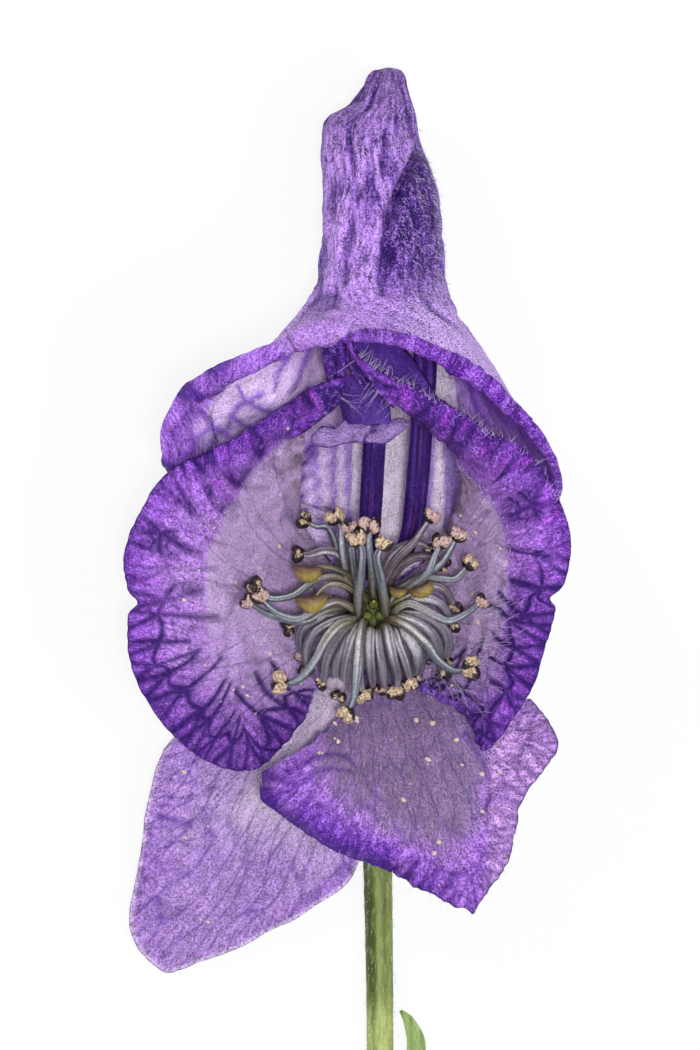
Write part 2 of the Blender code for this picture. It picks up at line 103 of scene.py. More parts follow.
RIGHT_LATERAL_MARGIN = [
    (0.0, 12.2, 12.9), (1.3, 11.4, 13.1), (3.5, 10.5, 13.2), (5.7, 9.3, 13.0), (7.3, 8.2, 12.7),
    (8.8, 7.5, 12.1), (10.4, 5.2, 11.4), (11.2, 2.7, 10.9), (10.6, 0.1, 10.5), (10.0, -2.1, 10.2),
    (9.1, -4.7, 9.9), (6.9, -7.6, 9.6), (5.7, -6.0, 8.4), (3.8, -4.7, 7.0),
]
RIGHT_LATERAL_FOLD = [
    (5.5, 6.6, 10.5), (5.9, 6.2, 10.8), (6.3, 5.8, 10.9), (6.7, 5.3, 10.9), (7.2, 4.7, 10.9),
    (7.6, 3.9, 10.8), (7.9, 2.9, 10.5), (8.0, 1.3, 10.1), (8.0, -0.3, 9.7), (7.8, -2.0, 9.3),
    (7.4, -3.5, 8.9), (6.4, -4.7, 8.4), (5.4, -4.8, 7.6), (3.6, -4.1, 6.4),
]
LEFT_LOWER_MARGIN = [
    (-7.4, -5.7, 3.4), (-9.3, -7.7, 2.8), (-10.1, -10.3, 2.2), (-10.5, -13.2, 1.5),
    (-11.0, -16.7, 0.8), (-9.3, -18.8, 0.29), (-7.2, -18.3, 0.4), (-4.3, -17.0, 0.7),
    (-1.8, -15.6, 1.2), (0.4, -13.7, 1.7), (0.5, -10.1, 2.7),
]
LEFT_LOWER_FOLD = [
    (-4.3, -4.5, 3.6), (-6.0, -6.2, 3.4), (-7.1, -8.6, 2.9), (-7.4, -11.1, 2.4), (-7.2, -13.5, 1.9),
    (-6.2, -14.6, 1.6), (-4.7, -14.3, 1.7), (-2.9, -13.5, 2.0), (-1.5, -12.3, 2.3),
    (-0.4, -10.6, 2.7), (0.2, -8.1, 3.2),
]
RIGHT_LOWER_MARGIN = [
    (-4.3, -8.8, 8.8), (-4.3, -10.1, 8.4), (-2.6, -11.5, 7.8), (-0.4, -12.8, 7.1),
    (1.7, -13.5, 6.5), (3.9, -14.7, 5.7), (6.2, -15.4, 5.0), (8.0, -13.3, 5.0), (8.7, -10.3, 5.3),
    (10.6, -7.4, 5.0), (9.2, -5.0, 4.6),
]
RIGHT_LOWER_FOLD = [
    (-1.5, -7.0, 8.3), (-1.4, -7.9, 8.5), (-0.8, -9.3, 8.3), (0.5, -10.5, 7.7), (2.0, -11.4, 7.1),
    (3.7, -12.2, 6.5), (5.1, -12.6, 6.1), (6.2, -11.4, 5.9), (6.8, -9.3, 5.7), (7.6, -7.2, 5.2),
    (6.6, -5.1, 4.7),
]


# ---------------------------------------------------------------- numbers and patterns


def smooth_at(points, along, closed=False):
    """Points on the Catmull-Rom curve, or rows on the surface, at places counted in spans."""
    points = np.asarray(points, float)
    if closed:
        padded = np.concatenate([points[-1:], points, points[:2]])
    else:
        before = 2 * points[:1] - points[1:2]
        after = 2 * points[-1:] - points[-2:-1]
        padded = np.concatenate([before, points, after])
    span = np.minimum(along.astype(int), len(padded) - 4)
    t = (along - span).reshape((-1,) + (1,) * (points.ndim - 1))
    a, b, c, d = (padded[span + step] for step in range(4))
    return b + 0.5 * t * (c - a + t * (2 * a - 5 * b + 4 * c - d + t * (3 * (b - c) + d - a)))


def smooth_through(points, count):
    return smooth_at(points, np.linspace(0, len(points) - 1, count))


def places(counts):
    """Places along a row of spans, with as many steps in each span as counts says."""
    parts = [span + np.arange(count) / count for span, count in enumerate(counts)]
    return np.append(np.concatenate(parts), len(counts))


def smooth_surface(curves, rows, columns, closed=False):
    """A grid of points on the surface through the curves, at row and column places."""
    lengthwise = smooth_at(curves, rows)
    return smooth_at(lengthwise.swapaxes(0, 1), columns, closed).swapaxes(0, 1)


def ramp(values, low, high):
    """0 below low, 1 above high and smooth between; it falls where low is above high."""
    t = np.clip((values - low) / (high - low), 0, 1)
    return t * t * (3 - 2 * t)


def bell(distance, width):
    """1 where the distance is 0, falling smoothly to 0 beyond the width."""
    return np.exp(-((distance / width) ** 2))


def pair(one, two):
    """Two numbers for each point, joined as a place on a plane."""
    return np.stack([one, two], axis=-1)


def scatter(cells, seed):
    """A number from 0 to 1 for each whole-number place, the same at each run."""
    mixed = np.full(cells.shape[:-1], seed * 40503 + 12345, np.uint64)
    for axis, factor in zip(range(cells.shape[-1]), (374761393, 668265263, 2246822519)):
        mixed = mixed ^ (cells[..., axis].astype(np.int64).astype(np.uint64) * np.uint64(factor))
        mixed = (mixed ^ (mixed >> np.uint64(15))) * np.uint64(2654435761)
        mixed = mixed & np.uint64(0xFFFFFFFF)
    mixed = mixed ^ (mixed >> np.uint64(13))
    return (mixed & np.uint64(0xFFFF)).astype(float) / 0xFFFF


def noise(points, size, seed=0):
    """Smooth noise from -1 to 1 with lumps of the given size, which may differ by axis."""
    at = points / np.asarray(size, float) + 500
    corner = np.floor(at)
    part = at - corner
    part = part * part * (3 - 2 * part)
    total = 0
    for step in itertools.product((0, 1), repeat=points.shape[-1]):
        weight = np.prod(np.where(step, part, 1 - part), axis=-1)
        total = total + weight * scatter(corner + step, seed)
    return total * 2 - 1


def fractal(points, size, seed=0, octaves=3):
    size = np.asarray(size, float)
    parts = ((seed + octave, 2**octave) for octave in range(octaves))
    return sum(noise(points, size / fraction, own) / fraction for own, fraction in parts)


def cell_borders(points, size, seed=0):
    """0 on the borders of scattered cells and up to about 1 inside them, on a plane."""
    at = points / np.asarray(size, float) + 500
    corner = np.floor(at)
    first = np.full(at.shape[:-1], 9.0)
    second = first.copy()
    for step in itertools.product((-1, 0, 1), repeat=2):
        cell = corner + step
        middle = cell + 0.1 + 0.8 * pair(scatter(cell, seed), scatter(cell, seed + 7))
        distance = np.linalg.norm(at - middle, axis=-1)
        second = np.minimum(second, np.maximum(first, distance))
        first = np.minimum(first, distance)
    return second - first


def normals_of(grid, closed=False):
    """Unit normals of a grid of points, on the side where the columns run clockwise."""
    if closed:
        wide = np.concatenate([grid[:, -1:], grid, grid[:, :1]], axis=1)
        across = np.gradient(wide, axis=1)[:, 1:-1]
    else:
        across = np.gradient(grid, axis=1)
    normals = np.cross(across, np.gradient(grid, axis=0))
    return normals / np.maximum(np.linalg.norm(normals, axis=-1, keepdims=True), 1e-9)


def lengths_along(grid, axis):
    """How far each point is from the start of its row or column, in millimetres."""
    steps = np.linalg.norm(np.diff(grid, axis=axis), axis=-1)
    return np.insert(np.cumsum(steps, axis=axis), 0, 0, axis=axis)


def line_distance(points, line, count=60):
    """How far each point is from a smooth line, and how far along it from 0 to 1."""
    line = smooth_through(line, count)
    best = np.full(points.shape[:-1], 1e9)
    part = np.zeros(points.shape[:-1])
    for step in range(count - 1):
        start, way = line[step], line[step + 1] - line[step]
        t = np.clip((points - start) @ way / (way @ way), 0, 1)
        distance = np.linalg.norm(points - start - t[..., None] * way, axis=-1)
        nearer = distance < best
        best = np.where(nearer, distance, best)
        part = np.where(nearer, (step + t) / (count - 1), part)
    return best, part


def drawn(points, lines, width):
    """1 on each of the lines drawn on the flower as it is seen from the front, fading to 0."""
    strength = np.zeros(points.shape[:-1])
    for line in lines:
        distance, part = line_distance(points[..., :2], np.array(line))
        strength = np.maximum(strength, bell(distance, width * (1.2 - 0.7 * part)))
    return strength


def branching(flat, spacing, seed):
    """1 on veins that run out to a margin, fork and join up, by place along it and depth."""
    strength = np.zeros(flat.shape[:-1])
    count = int(flat[..., 0].max() / spacing)
    numbers = np.meshgrid(np.arange(count + 1), np.arange(6), indexing="ij")
    chances = scatter(pair(*numbers), seed)
    feet = (np.arange(count + 1) + 0.2 + 0.6 * chances[:, 0]) * spacing
    depths = 2.6 + 2.2 * chances[:, 1]
    forks = depths * (0.3 + 0.3 * chances[:, 2])
    nexts = zip(feet[1:], forks[1:])
    for foot, depth, fork, chance, (after, next_fork) in zip(feet, depths, forks, chances, nexts):
        sway = chance[3] - 0.5
        knee = (foot, fork)
        lines = [[(foot + sway, depth), (foot + sway * 0.2, (depth + fork) / 2), knee]]
        for side, spread in ((-1, chance[4]), (1, chance[5])):
            end = foot + side * spacing * (0.2 + 0.35 * spread)
            lines.append([knee, ((foot + end) / 2, fork * 0.55), (end, 0.0)])
        bridge = ((foot + after) / 2, (fork + next_fork) / 2 + sway)
        lines.append([knee, bridge, (after, next_fork)])
        for line in lines:
            low, high = np.min(line, axis=0) - 0.5, np.max(line, axis=0) + 0.5
            near = np.all((flat > low) & (flat < high), axis=-1)
            distance = line_distance(flat[near], np.array(line), 12)[0]
            strength[near] = np.maximum(strength[near], bell(distance, 0.17))
    return strength


def rim_places(grid, margin, samples=240):
    """For each point, how far along the margin its nearest place is and how far away."""
    line = smooth_through(margin, samples)
    along = np.insert(np.cumsum(np.linalg.norm(np.diff(line, axis=0), axis=1)), 0, 0)
    flat = grid.reshape(-1, 3)
    blocks = np.array_split(flat, 40)  # taken one by one, to keep the memory small
    nearest = [np.argmin(((block[:, None] - line) ** 2).sum(-1), axis=1) for block in blocks]
    nearest = np.concatenate(nearest)
    distance = np.linalg.norm(flat - line[nearest], axis=1)
    ahead = line[np.minimum(nearest + 1, samples - 1)] - line[np.maximum(nearest - 1, 0)]
    ahead /= np.linalg.norm(ahead, axis=1, keepdims=True)
    place = along[nearest] + ((flat - line[nearest]) * ahead).sum(-1)
    return pair(place, distance).reshape(*grid.shape[:2], 2)


# ---------------------------------------------------------------- meshes


class Shape:
    """Points, faces and number masks gathered for one object."""

    def __init__(self):
        self.points, self.faces, self.masks, self.count = [], [], [], 0

    def add(self, points, faces, **masks):
        points = np.asarray(points, float).reshape(-1, 3)
        self.points.append(points)
        self.faces += [part + self.count for part in faces]
        self.masks.append((len(points), masks))
        self.count += len(points)

    def mask(self, key):
        """The number of this name at each point, 0 where it wasn't given."""
        parts = [(np.ravel(masks.get(key, 0.0)), count) for count, masks in self.masks]
        return np.concatenate([np.broadcast_to(values, count) for values, count in parts])

    def build(self, name, material):
        mesh = bpy.data.meshes.new(name)
        mesh.vertices.add(self.count)
        mesh.vertices.foreach_set("co", (np.concatenate(self.points) * MM).ravel())
        corners = np.concatenate([part.ravel() for part in self.faces])
        sizes = np.concatenate([np.full(len(part), part.shape[1]) for part in self.faces])
        mesh.loops.add(len(corners))
        mesh.loops.foreach_set("vertex_index", corners)
        mesh.polygons.add(len(sizes))
        mesh.polygons.foreach_set("loop_start", np.cumsum(sizes) - sizes)
        mesh.polygons.foreach_set("use_smooth", np.full(len(sizes), True))
        mesh.update(calc_edges=True)
        for key in sorted({key for _, masks in self.masks for key in masks}):
            made = mesh.attributes.new(key, "FLOAT", "POINT")
            made.data.foreach_set("value", self.mask(key))
        mesh.materials.append(material)
        item = bpy.data.objects.new(name, mesh)
        bpy.context.scene.collection.objects.link(item)
        return item


def grid_faces(rows, columns, closed=False, start=0):
    index = start + np.arange(rows * columns).reshape(rows, columns)
    if closed:
        index = np.concatenate([index, index[:, :1]], axis=1)
    corners = (index[:-1, :-1], index[:-1, 1:], index[1:, 1:], index[1:, :-1])
    return np.stack(corners, axis=-1).reshape(-1, 4)


def seam_faces(fine, coarse):
    """The strip from a border to one with half as many steps."""
    quads = np.stack([fine[:-2:2], coarse[:-1], coarse[1:], fine[1:-1:2]], axis=-1)
    triangles = np.stack([fine[1:-1:2], coarse[1:], fine[2::2]], axis=-1)
    return [quads, triangles]


def border_of(index):
    return np.concatenate([index[0], index[1:, -1], index[-1, -2::-1], index[-2::-1, 0]])


def add_petal(shape, face, thickness, **masks):
    """A closed sheet: face is the side that shows, and its coarser back lies below it."""
    rows, columns = face.shape[:2]
    back = (face - normals_of(face) * thickness[..., None])[::2, ::2]
    index = np.arange(rows * columns).reshape(rows, columns)
    behind = rows * columns + np.arange(back[..., 0].size).reshape(back.shape[:2])
    faces = [grid_faces(rows, columns), grid_faces(*back.shape[:2], start=rows * columns)[:, ::-1]]
    faces += seam_faces(border_of(index), border_of(behind))
    both = {}
    for key, values in masks.items():
        values = np.broadcast_to(values, (rows, columns))
        both[key] = np.append(values.ravel(), values[::2, ::2].ravel())
    both["back"] = np.repeat([0.0, 1.0], [rows * columns, back[..., 0].size])
    shape.add(np.concatenate([face.reshape(-1, 3), back.reshape(-1, 3)]), faces, **both)


def strip(left, right, rows, columns, swell):
    """A sheet between two lines that run downwards, domed towards the viewer."""
    left, right = smooth_through(left, columns), smooth_through(right, columns)
    across = np.linspace(0, 1, rows)[:, None, None]
    grid = left[None] * (1 - across) + right[None] * across
    grid[..., 2] += swell * np.sin(math.pi * across[..., 0]) ** 0.6
    lengthwise = lengths_along(grid, 1)
    return grid, across[..., 0] + 0 * lengthwise, lengthwise


def add_loft(shape, grid, **masks):
    """A closed tube through rings of points, each clockwise as seen from its start."""
    rows, columns = grid.shape[:2]
    index = np.arange(rows * columns).reshape(rows, columns)
    ends = np.stack([grid[0].mean(axis=0), grid[-1].mean(axis=0)])
    first, last = index[0], index[-1]
    start = np.stack([np.roll(first, -1), first, np.full(columns, rows * columns)], axis=-1)
    stop = np.stack([last, np.roll(last, -1), np.full(columns, rows * columns + 1)], axis=-1)
    for key, values in masks.items():
        if np.ndim(values):
            masks[key] = np.append(values.ravel(), [values[0].mean(), values[-1].mean()])
    faces = [grid_faces(rows, columns, True), start, stop]
    shape.add(np.concatenate([grid.reshape(-1, 3), ends]), faces, **masks)


def unit(vectors):
    return vectors / np.maximum(np.linalg.norm(vectors, axis=-1, keepdims=True), 1e-9)


def ribbon(line, side, widths, depths, sides):
    """Rings of a flat oval tube along a line, wide towards side, and their angles."""
    along = unit(np.gradient(line, axis=0))
    across = unit(side - along * (along @ side)[:, None] if np.ndim(side) == 1 else side)
    outward = np.cross(across, along)
    angles = math.tau * np.arange(sides) / sides
    widths, depths = np.asarray(widths)[:, None, None], np.asarray(depths)[:, None, None]
    offset = across[:, None] * (np.cos(angles)[:, None] * widths / 2)
    offset = offset + outward[:, None] * (np.sin(angles)[:, None] * depths / 2)
    return line[:, None] + offset, np.broadcast_to(angles, (len(line), sides))


def add_hairs(shape, roots, rise, lean, lengths, radius, seed, steps=5):
    """Thin tapered hairs that stand up along rise and then bend towards lean."""
    count = len(roots)
    number = pair(np.arange(count), np.zeros(count))
    wild = np.stack([scatter(number + [0, axis], seed) for axis in range(3)], axis=-1) * 2 - 1
    t = np.linspace(0, 1, steps)[None, :, None]
    lean = unit(lean + wild * 0.45)[:, None]
    curl = unit(np.cross(lean, rise[:, None]))
    bend = rise[:, None] * (t - 0.55 * t * t) + lean * t**1.3 * 0.9
    curve = roots[:, None] + lengths[:, None, None] * (bend + curl * t**2 * wild[:, :1, None] * 0.5)
    curve -= rise[:, None] * 0.03
    along = unit(np.gradient(curve, axis=1))
    one = unit(np.cross(along, rise[:, None]))
    two = np.cross(one, along)
    width = radius * (1 - 0.8 * t)
    angles = math.tau * np.arange(3) / 3
    ring = one[:, :, None] * np.cos(angles)[:, None] + two[:, :, None] * np.sin(angles)[:, None]
    points = curve[:, :, None] + ring * width[..., None]
    faces = grid_faces(steps, 3, True)
    faces = (faces[None] + (np.arange(count) * steps * 3)[:, None, None]).reshape(-1, 4)
    shape.add(points, [faces[:, ::-1]], hair=1.0)


def add_flecks(shape, middles, normals, sizes, seed):
    """Flat crumbs of pollen, each an uneven cap with a number of sides."""
    count, sides = len(middles), 6
    step = np.arange(sides)
    angles = math.tau * step / sides
    number = np.arange(count)[:, None] * 7 + step
    reach = 0.55 + 0.9 * scatter(pair(number, number * 0), seed)
    one = unit(np.cross(normals, [0.3, 0.8, 0.1]))[:, None]
    two = np.cross(normals[:, None], one)
    ring = one * np.cos(angles)[None, :, None] + two * np.sin(angles)[None, :, None] * 0.7
    ring = ring * (reach * sizes[:, None])[..., None]
    low = middles[:, None] + ring - normals[:, None] * 0.03
    high = middles[:, None] + ring * 0.7 + normals[:, None] * (sizes * 0.35)[:, None, None]
    top = middles[:, None] + normals[:, None] * (sizes * 0.5)[:, None, None]
    points = np.concatenate([low, high, top], axis=1)
    after = (step + 1) % sides
    quads = np.stack([step, after, after + sides, step + sides], axis=-1)
    caps = np.stack([step + sides, after + sides, np.full(sides, 2 * sides)], axis=-1)
    starts = (np.arange(count) * (2 * sides + 1))[:, None, None]
    faces = [(quads + starts).reshape(-1, 4), (caps + starts).reshape(-1, 3)]
    shape.add(points, faces, fleck=1.0)


# ---------------------------------------------------------------- materials


def colour(red, green, blue):
    """A colour given as it looks on a screen, from 0 to 255, as linear numbers."""
    values = np.array([red, green, blue]) / 255
    return (*np.where(values <= 0.04045, values / 12.92, ((values + 0.055) / 1.055) ** 2.4), 1.0)


class Paint:
    """A Principled material whose colour is laid on in layers."""

    def __init__(self, name, base, roughness):
        self.material = bpy.data.materials.new(name)
        self.material.use_nodes = True
        self.nodes = self.material.node_tree.nodes
        self.shader = self.nodes["Principled BSDF"]
        self.shader.inputs["Roughness"].default_value = roughness
        self.shader.inputs["Specular IOR Level"].default_value = 0.35
        self.colour = colour(*base)
        self.place = self.node("TexCoord").outputs["Object"]

    def link(self, value, socket):
        if isinstance(value, bpy.types.NodeSocket):
            self.material.node_tree.links.new(value, socket)
        else:
            socket.default_value = value

    def node(self, kind, values=(), **settings):
        """A new node with its settings, and numbers or links for its inputs by name or place."""
        node = self.nodes.new(f"ShaderNode{kind}")
        for name, setting in settings.items():
            setattr(node, name, setting)
        for socket, value in dict(values).items():
            self.link(value, node.inputs[socket])
        return node

    def mask(self, key):
        return self.node("Attribute", attribute_name=key).outputs["Fac"]

    def maths(self, operation, one, two):
        return self.node("Math", {0: one, 1: two}, operation=operation).outputs[0]

    def follow(self):
        """From here on noise runs along a piece's own length, kept in its masks."""
        flat = {0: self.mask("across"), 1: self.mask("along")}
        self.place = self.node("CombineXYZ", flat).outputs[0]

    def stretched(self, size, stretch):
        """The place counted in lumps of a size in millimetres, which may differ by axis."""
        steps = [1 / (size * MM * part) for part in stretch]
        return self.node("VectorMath", {0: self.place, 1: steps}, operation="MULTIPLY").outputs[0]

    def raw_noise(self, size, detail, stretch, wander=0.0):
        values = {"Vector": self.stretched(size, stretch), "Scale": 1.0}
        values |= {"Detail": detail, "Distortion": wander}
        return self.node("TexNoise", values).outputs["Fac"]

    def noise(self, size, low=0.35, high=0.65, detail=3.0, stretch=(1, 1, 1)):
        """Noise with lumps of a size in millimetres, from 0 at low to 1 at high."""
        return self.span(self.raw_noise(size, detail, stretch), low, high)

    def lines(self, size, width, stretch, wander):
        """1 on thin wandering lines about a size apart, falling to 0 beside them."""
        value = self.maths("SUBTRACT", self.raw_noise(size, 2.0, stretch, wander), 0.5)
        return self.span(self.maths("ABSOLUTE", value, 0.0), width, 0.0)

    def net(self, size, width, stretch, wander=0.35):
        """1 on the borders of long cells, which join up like veins, falling to 0 beside them."""
        place = self.stretched(size, stretch)
        bent = self.node("TexNoise", {"Vector": place, "Scale": 1.6, "Detail": 2.0})
        values = {0: bent.outputs["Color"], 1: (wander * 2, wander * 2, 0), 2: place}
        shifted = self.node("VectorMath", values, operation="MULTIPLY_ADD").outputs[0]
        edges = {"feature": "DISTANCE_TO_EDGE", "voronoi_dimensions": "2D"}
        cells = self.node("TexVoronoi", {"Vector": shifted, "Scale": 1.0}, **edges)
        return self.span(cells.outputs["Distance"], width, 0.0)

    def grains(self, size):
        """1 in the middle of small scattered cells, falling to 0 at their borders."""
        cells = self.node("TexVoronoi", {"Vector": self.place, "Scale": 1 / (size * MM)})
        return self.span(cells.outputs["Distance"], 0.6, 0.1)

    def span(self, value, low, high, out_low=0.0, out_high=1.0):
        """The value with low and high moved to out_low and out_high, and kept between them."""
        values = enumerate((value, low, high, out_low, out_high))
        return self.node("MapRange", values).outputs[0]

    def layer(self, shade, amount):
        """Lays a colour over what is there, by an amount from 0 to 1."""
        values = {"Factor": amount, 6: self.colour, 7: colour(*shade)}
        self.colour = self.node("Mix", values, data_type="RGBA").outputs[2]

    def layers(self, rows):
        """Lays colours over each other, each by its mask times its amount."""
        for key, shade, amount in rows:
            self.layer(shade, self.maths("MULTIPLY", self.mask(key), amount))

    def total(self, start, *parts):
        """The sum of start and of each value times its own amount."""
        for value, amount in parts:
            start = self.maths("ADD", start, self.maths("MULTIPLY", value, amount))
        return start

    def scale(self, value):
        """Multiplies the colour by a value."""
        values = {0: self.colour, "Scale": value}
        self.colour = self.node("VectorMath", values, operation="SCALE").outputs[0]

    def brighten(self, value, low, high):
        """Multiplies the colour by low where value is 0 and by high where it is 1."""
        self.scale(self.span(value, 0, 1, low, high))

    def bump(self, height, distance, strength):
        """Lets the light fall as on heights of a distance in millimetres."""
        values = {"Distance": distance * MM, "Strength": strength, "Height": height}
        normal = self.shader.inputs["Normal"]
        if normal.is_linked:
            values["Normal"] = normal.links[0].from_socket
        self.link(self.node("Bump", values).outputs[0], normal)

    def done(self):
        self.link(self.colour, self.shader.inputs["Base Color"])
        return self.material


# Pale violet laid on as painted highlights and glints.
GLINT_VIOLET = (218, 168, 255)
DARK_VIOLET = (56, 14, 116)


def petal_material(name, base, layers, vein=(1.0, 2.2), stroke=(0.33, 3.0)):
    """A petal: colours laid on by masks, then veins, a grain of random tone, painted shade in fine
    creases, painted light and shade on folds, and painted highlights and glints.
    """
    paint = Paint(name, base, 0.45)
    paint.shader.inputs["Specular IOR Level"].default_value = 0.2
    speck = paint.noise(0.095, 0.37, 0.61, 2)
    cells = paint.noise(0.2, 0.36, 0.64, 3)
    blotch = paint.noise(0.9, 0.3, 0.7)
    paint.follow()
    size, length = vein
    net = paint.net(size, 0.10, (1, length / size, 1))
    small_net = paint.net(size * 0.4, 0.13, (1, 0.75 * length / size, 1), 0.5)
    fold = paint.noise(stroke[0], 0.36, 0.62, 4, (1, stroke[1], 1))
    shine = paint.lines(0.21, 0.075, (1, 1.7, 1), 1.2)
    crease = paint.lines(0.5, 0.035, (1, 2.4, 1), 0.9)
    paint.layers(layers)
    rugged, glitter, netted = (paint.mask(key) for key in ("rugged", "glitter", "netted"))

    def lay(shade, amount, *parts):
        for part in parts:
            amount = paint.maths("MULTIPLY", part, amount)
        paint.layer(shade, amount)

    lay(DARK_VIOLET, 0.85, net, netted)
    lay(DARK_VIOLET, 0.6, small_net, netted, netted)
    # Painted shade: the fine creases are darkened.
    lay(DARK_VIOLET, 0.6, crease, paint.span(rugged, 0, 1, 0.1, 1))
    # Random tone from blotch, cells and speck, plus painted light: folds lighter on their crests and
    # darker in their troughs, painted highlights along the shine lines, and painted glints in the
    # specks.
    grain_and_light_gain = paint.total(
        1.0,
        (paint.span(blotch, 0, 1, -0.15, 0.15), 1.0),
        (paint.span(cells, 0, 1, -0.10, 0.10), 1.0),
        (paint.span(speck, 0, 1, -0.08, 0.08), 1.0),
        (paint.span(fold, 0, 1, -0.45, 0.4), rugged),
        (paint.span(shine, 0, 1, -0.15, 0.55), rugged),
        (paint.span(speck, 0, 1, -0.8, 1.0), glitter),
    )
    paint.scale(grain_and_light_gain)
    # Painted highlight: pale violet laid where the colour has been lifted most.
    paint.layer(GLINT_VIOLET, paint.span(grain_and_light_gain, 1.15, 2.4, 0.0, 0.75))
    paint.layer((226, 212, 238), paint.mask("hair"))
    paint.layer((226, 206, 186), paint.mask("fleck"))
    paint.bump(fold, 0.08, 0.8)
    paint.bump(shine, 0.02, 0.8)
    paint.bump(crease, 0.03, -0.8)
    paint.bump(speck, 0.03, 0.8)
    return paint.done()


# ---------------------------------------------------------------- sepals

# How each sepal rises from its claw: the cup rises as the power hollow of the way, the rim
# beyond the fold is arched by roll, and bulge bends the cup's first side sideways.
SEPALS = {
    "lateral_sepal_left": dict(
        margin=LEFT_LATERAL_MARGIN, fold=LEFT_LATERAL_FOLD, claw_azimuths=(122, 210),
        claw_z=4.0, roll=0.7, hollow=1.8, bulge=1.5, clockwise=True,
    ),
    "lateral_sepal_right": dict(
        margin=RIGHT_LATERAL_MARGIN, fold=RIGHT_LATERAL_FOLD, claw_azimuths=(58, -30),
        claw_z=4.0, roll=0.7, hollow=1.8, bulge=-1.1, clockwise=False,
    ),
    "lower_sepal_left": dict(
        margin=LEFT_LOWER_MARGIN, fold=LEFT_LOWER_FOLD, claw_azimuths=(206, 268),
        claw_z=3.5, roll=0.15, hollow=1.0, bulge=0.0, clockwise=True,
    ),
    "lower_sepal_right": dict(
        margin=RIGHT_LOWER_MARGIN, fold=RIGHT_LOWER_FOLD, claw_azimuths=(270, 332),
        claw_z=3.7, roll=0.5, hollow=1.5, bulge=0.8, clockwise=True,
    ),
}
CUP_PARTS = (0.3, 0.6, 1.0)
# Where the cups of the side sepals turn olive, and the folds of the lower right sepal.
OLIVE_LINES = [
    [(-2.4, 7.9), (-2.3, 6.0), (-1.6, 3.8), (-0.7, 1.8)],
    [(5.35, 7.4), (5.65, 5.8), (5.3, 4.2), (4.7, 2.8)],
]
LOWER_FOLDS = [
    [(5.9, -6.8), (6.75, -8.2), (7.0, -9.3), (6.85, -10.4)],
    [(-3.0, -8.7), (-1.5, -7.9), (-0.2, -7.8), (0.6, -8.4)],
    [(-2.2, -9.1), (-1.0, -8.5), (0.2, -8.6)],
]


# Narrow folds at the tops of the side sepals, each with its left and right border.
LEFT_ROLLS = [
    (
        [
            (-0.15, 11.0, 12.5), (-0.6, 10.95, 12.7), (-1.4, 10.65, 12.7), (-2.3, 10.1, 12.6),
            (-3.2, 9.4, 12.3),
        ],
        [
            (-0.2, 10.2, 12.2), (-0.5, 9.6, 12.0), (-1.2, 9.0, 11.8), (-2.0, 8.4, 11.5),
            (-2.9, 7.9, 11.3),
        ],
        0.4, 0.0,
    ),
    (
        [(-1.45, 12.9, 13.6), (-1.3, 12.0, 13.0), (-1.1, 11.2, 12.4), (-0.9, 10.5, 11.8)],
        [(-0.2, 12.9, 13.6), (-0.1, 12.1, 13.2), (-0.1, 11.4, 12.7), (-0.1, 10.5, 12.0)], 0.25, 0.3,
    ),
]
RIGHT_ROLLS = [
    (
        [
            (-0.2, 12.9, 13.8), (0.05, 12.1, 13.5), (0.6, 11.25, 13.1), (1.4, 10.35, 12.7),
            (2.3, 9.5, 12.2),
        ],
        [
            (0.1, 12.9, 13.8), (0.5, 12.2, 13.6), (1.35, 11.5, 13.3), (2.4, 11.0, 12.9),
            (3.5, 10.4, 12.3),
        ],
        0.35, 0.0,
    ),
    (
        [(-0.5, 12.9, 13.2), (-0.2, 12.0, 13.0), (0.1, 11.3, 12.7), (0.6, 10.6, 12.3)],
        [(0.1, 12.9, 13.2), (0.2, 12.1, 13.1), (0.7, 11.3, 12.9), (1.3, 10.6, 12.6)], 0.15, 0.4,
    ),
]


def on_circle(azimuth, radius, z):
    angle = math.radians(azimuth)
    return np.array([CENTRE[0] + radius * math.cos(angle), CENTRE[1] + radius * math.sin(angle), z])


def sepal_grid(name, row_steps, columns):
    """A sepal's points from its claw out to its margin, and the row and column places."""
    sepal = SEPALS[name]
    margin, fold = np.array(sepal["margin"]), np.array(sepal["fold"])
    claw_z = sepal["claw_z"]
    azimuths = np.linspace(*sepal["claw_azimuths"], len(margin))
    claw = np.array([on_circle(azimuth, CLAW_RADIUS, claw_z) for azimuth in azimuths])
    sideways = np.stack([claw[:, 1] - fold[:, 1], fold[:, 0] - claw[:, 0], 0 * fold[:, 0]], axis=1)
    sideways = unit(sideways)
    fade = np.linspace(1, 0, len(margin))[:, None] ** 3
    curves = [claw]
    for part in CUP_PARTS:
        curve = claw + (fold - claw) * part
        curve[:, 2] = claw_z + (fold[:, 2] - claw_z) * part ** sepal["hollow"]
        curves.append(curve + sideways * sepal["bulge"] * fade * math.sin(math.pi * part))
    crest = (fold + margin) / 2 + np.array([0, 0, sepal["roll"]])
    rows = places(row_steps)
    across = np.linspace(0, len(margin) - 1, columns)
    grid = smooth_surface([*curves, crest, margin], rows, across)
    shares = np.broadcast_to(across / (len(margin) - 1), grid.shape[:2])
    if sepal["clockwise"]:
        grid, shares = grid[:, ::-1], shares[:, ::-1]
    return grid, np.broadcast_to(rows[:, None], grid.shape[:2]), shares


def flow_masks(across, along):
    """Where each point lies across and along its piece, for the fine creases."""
    return {"across": across * MM, "along": along * MM}


def finish(shape, name, material):
    piece = shape.build(f"{name}_look", material)
    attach(piece, "root")
    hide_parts(name)
    return piece


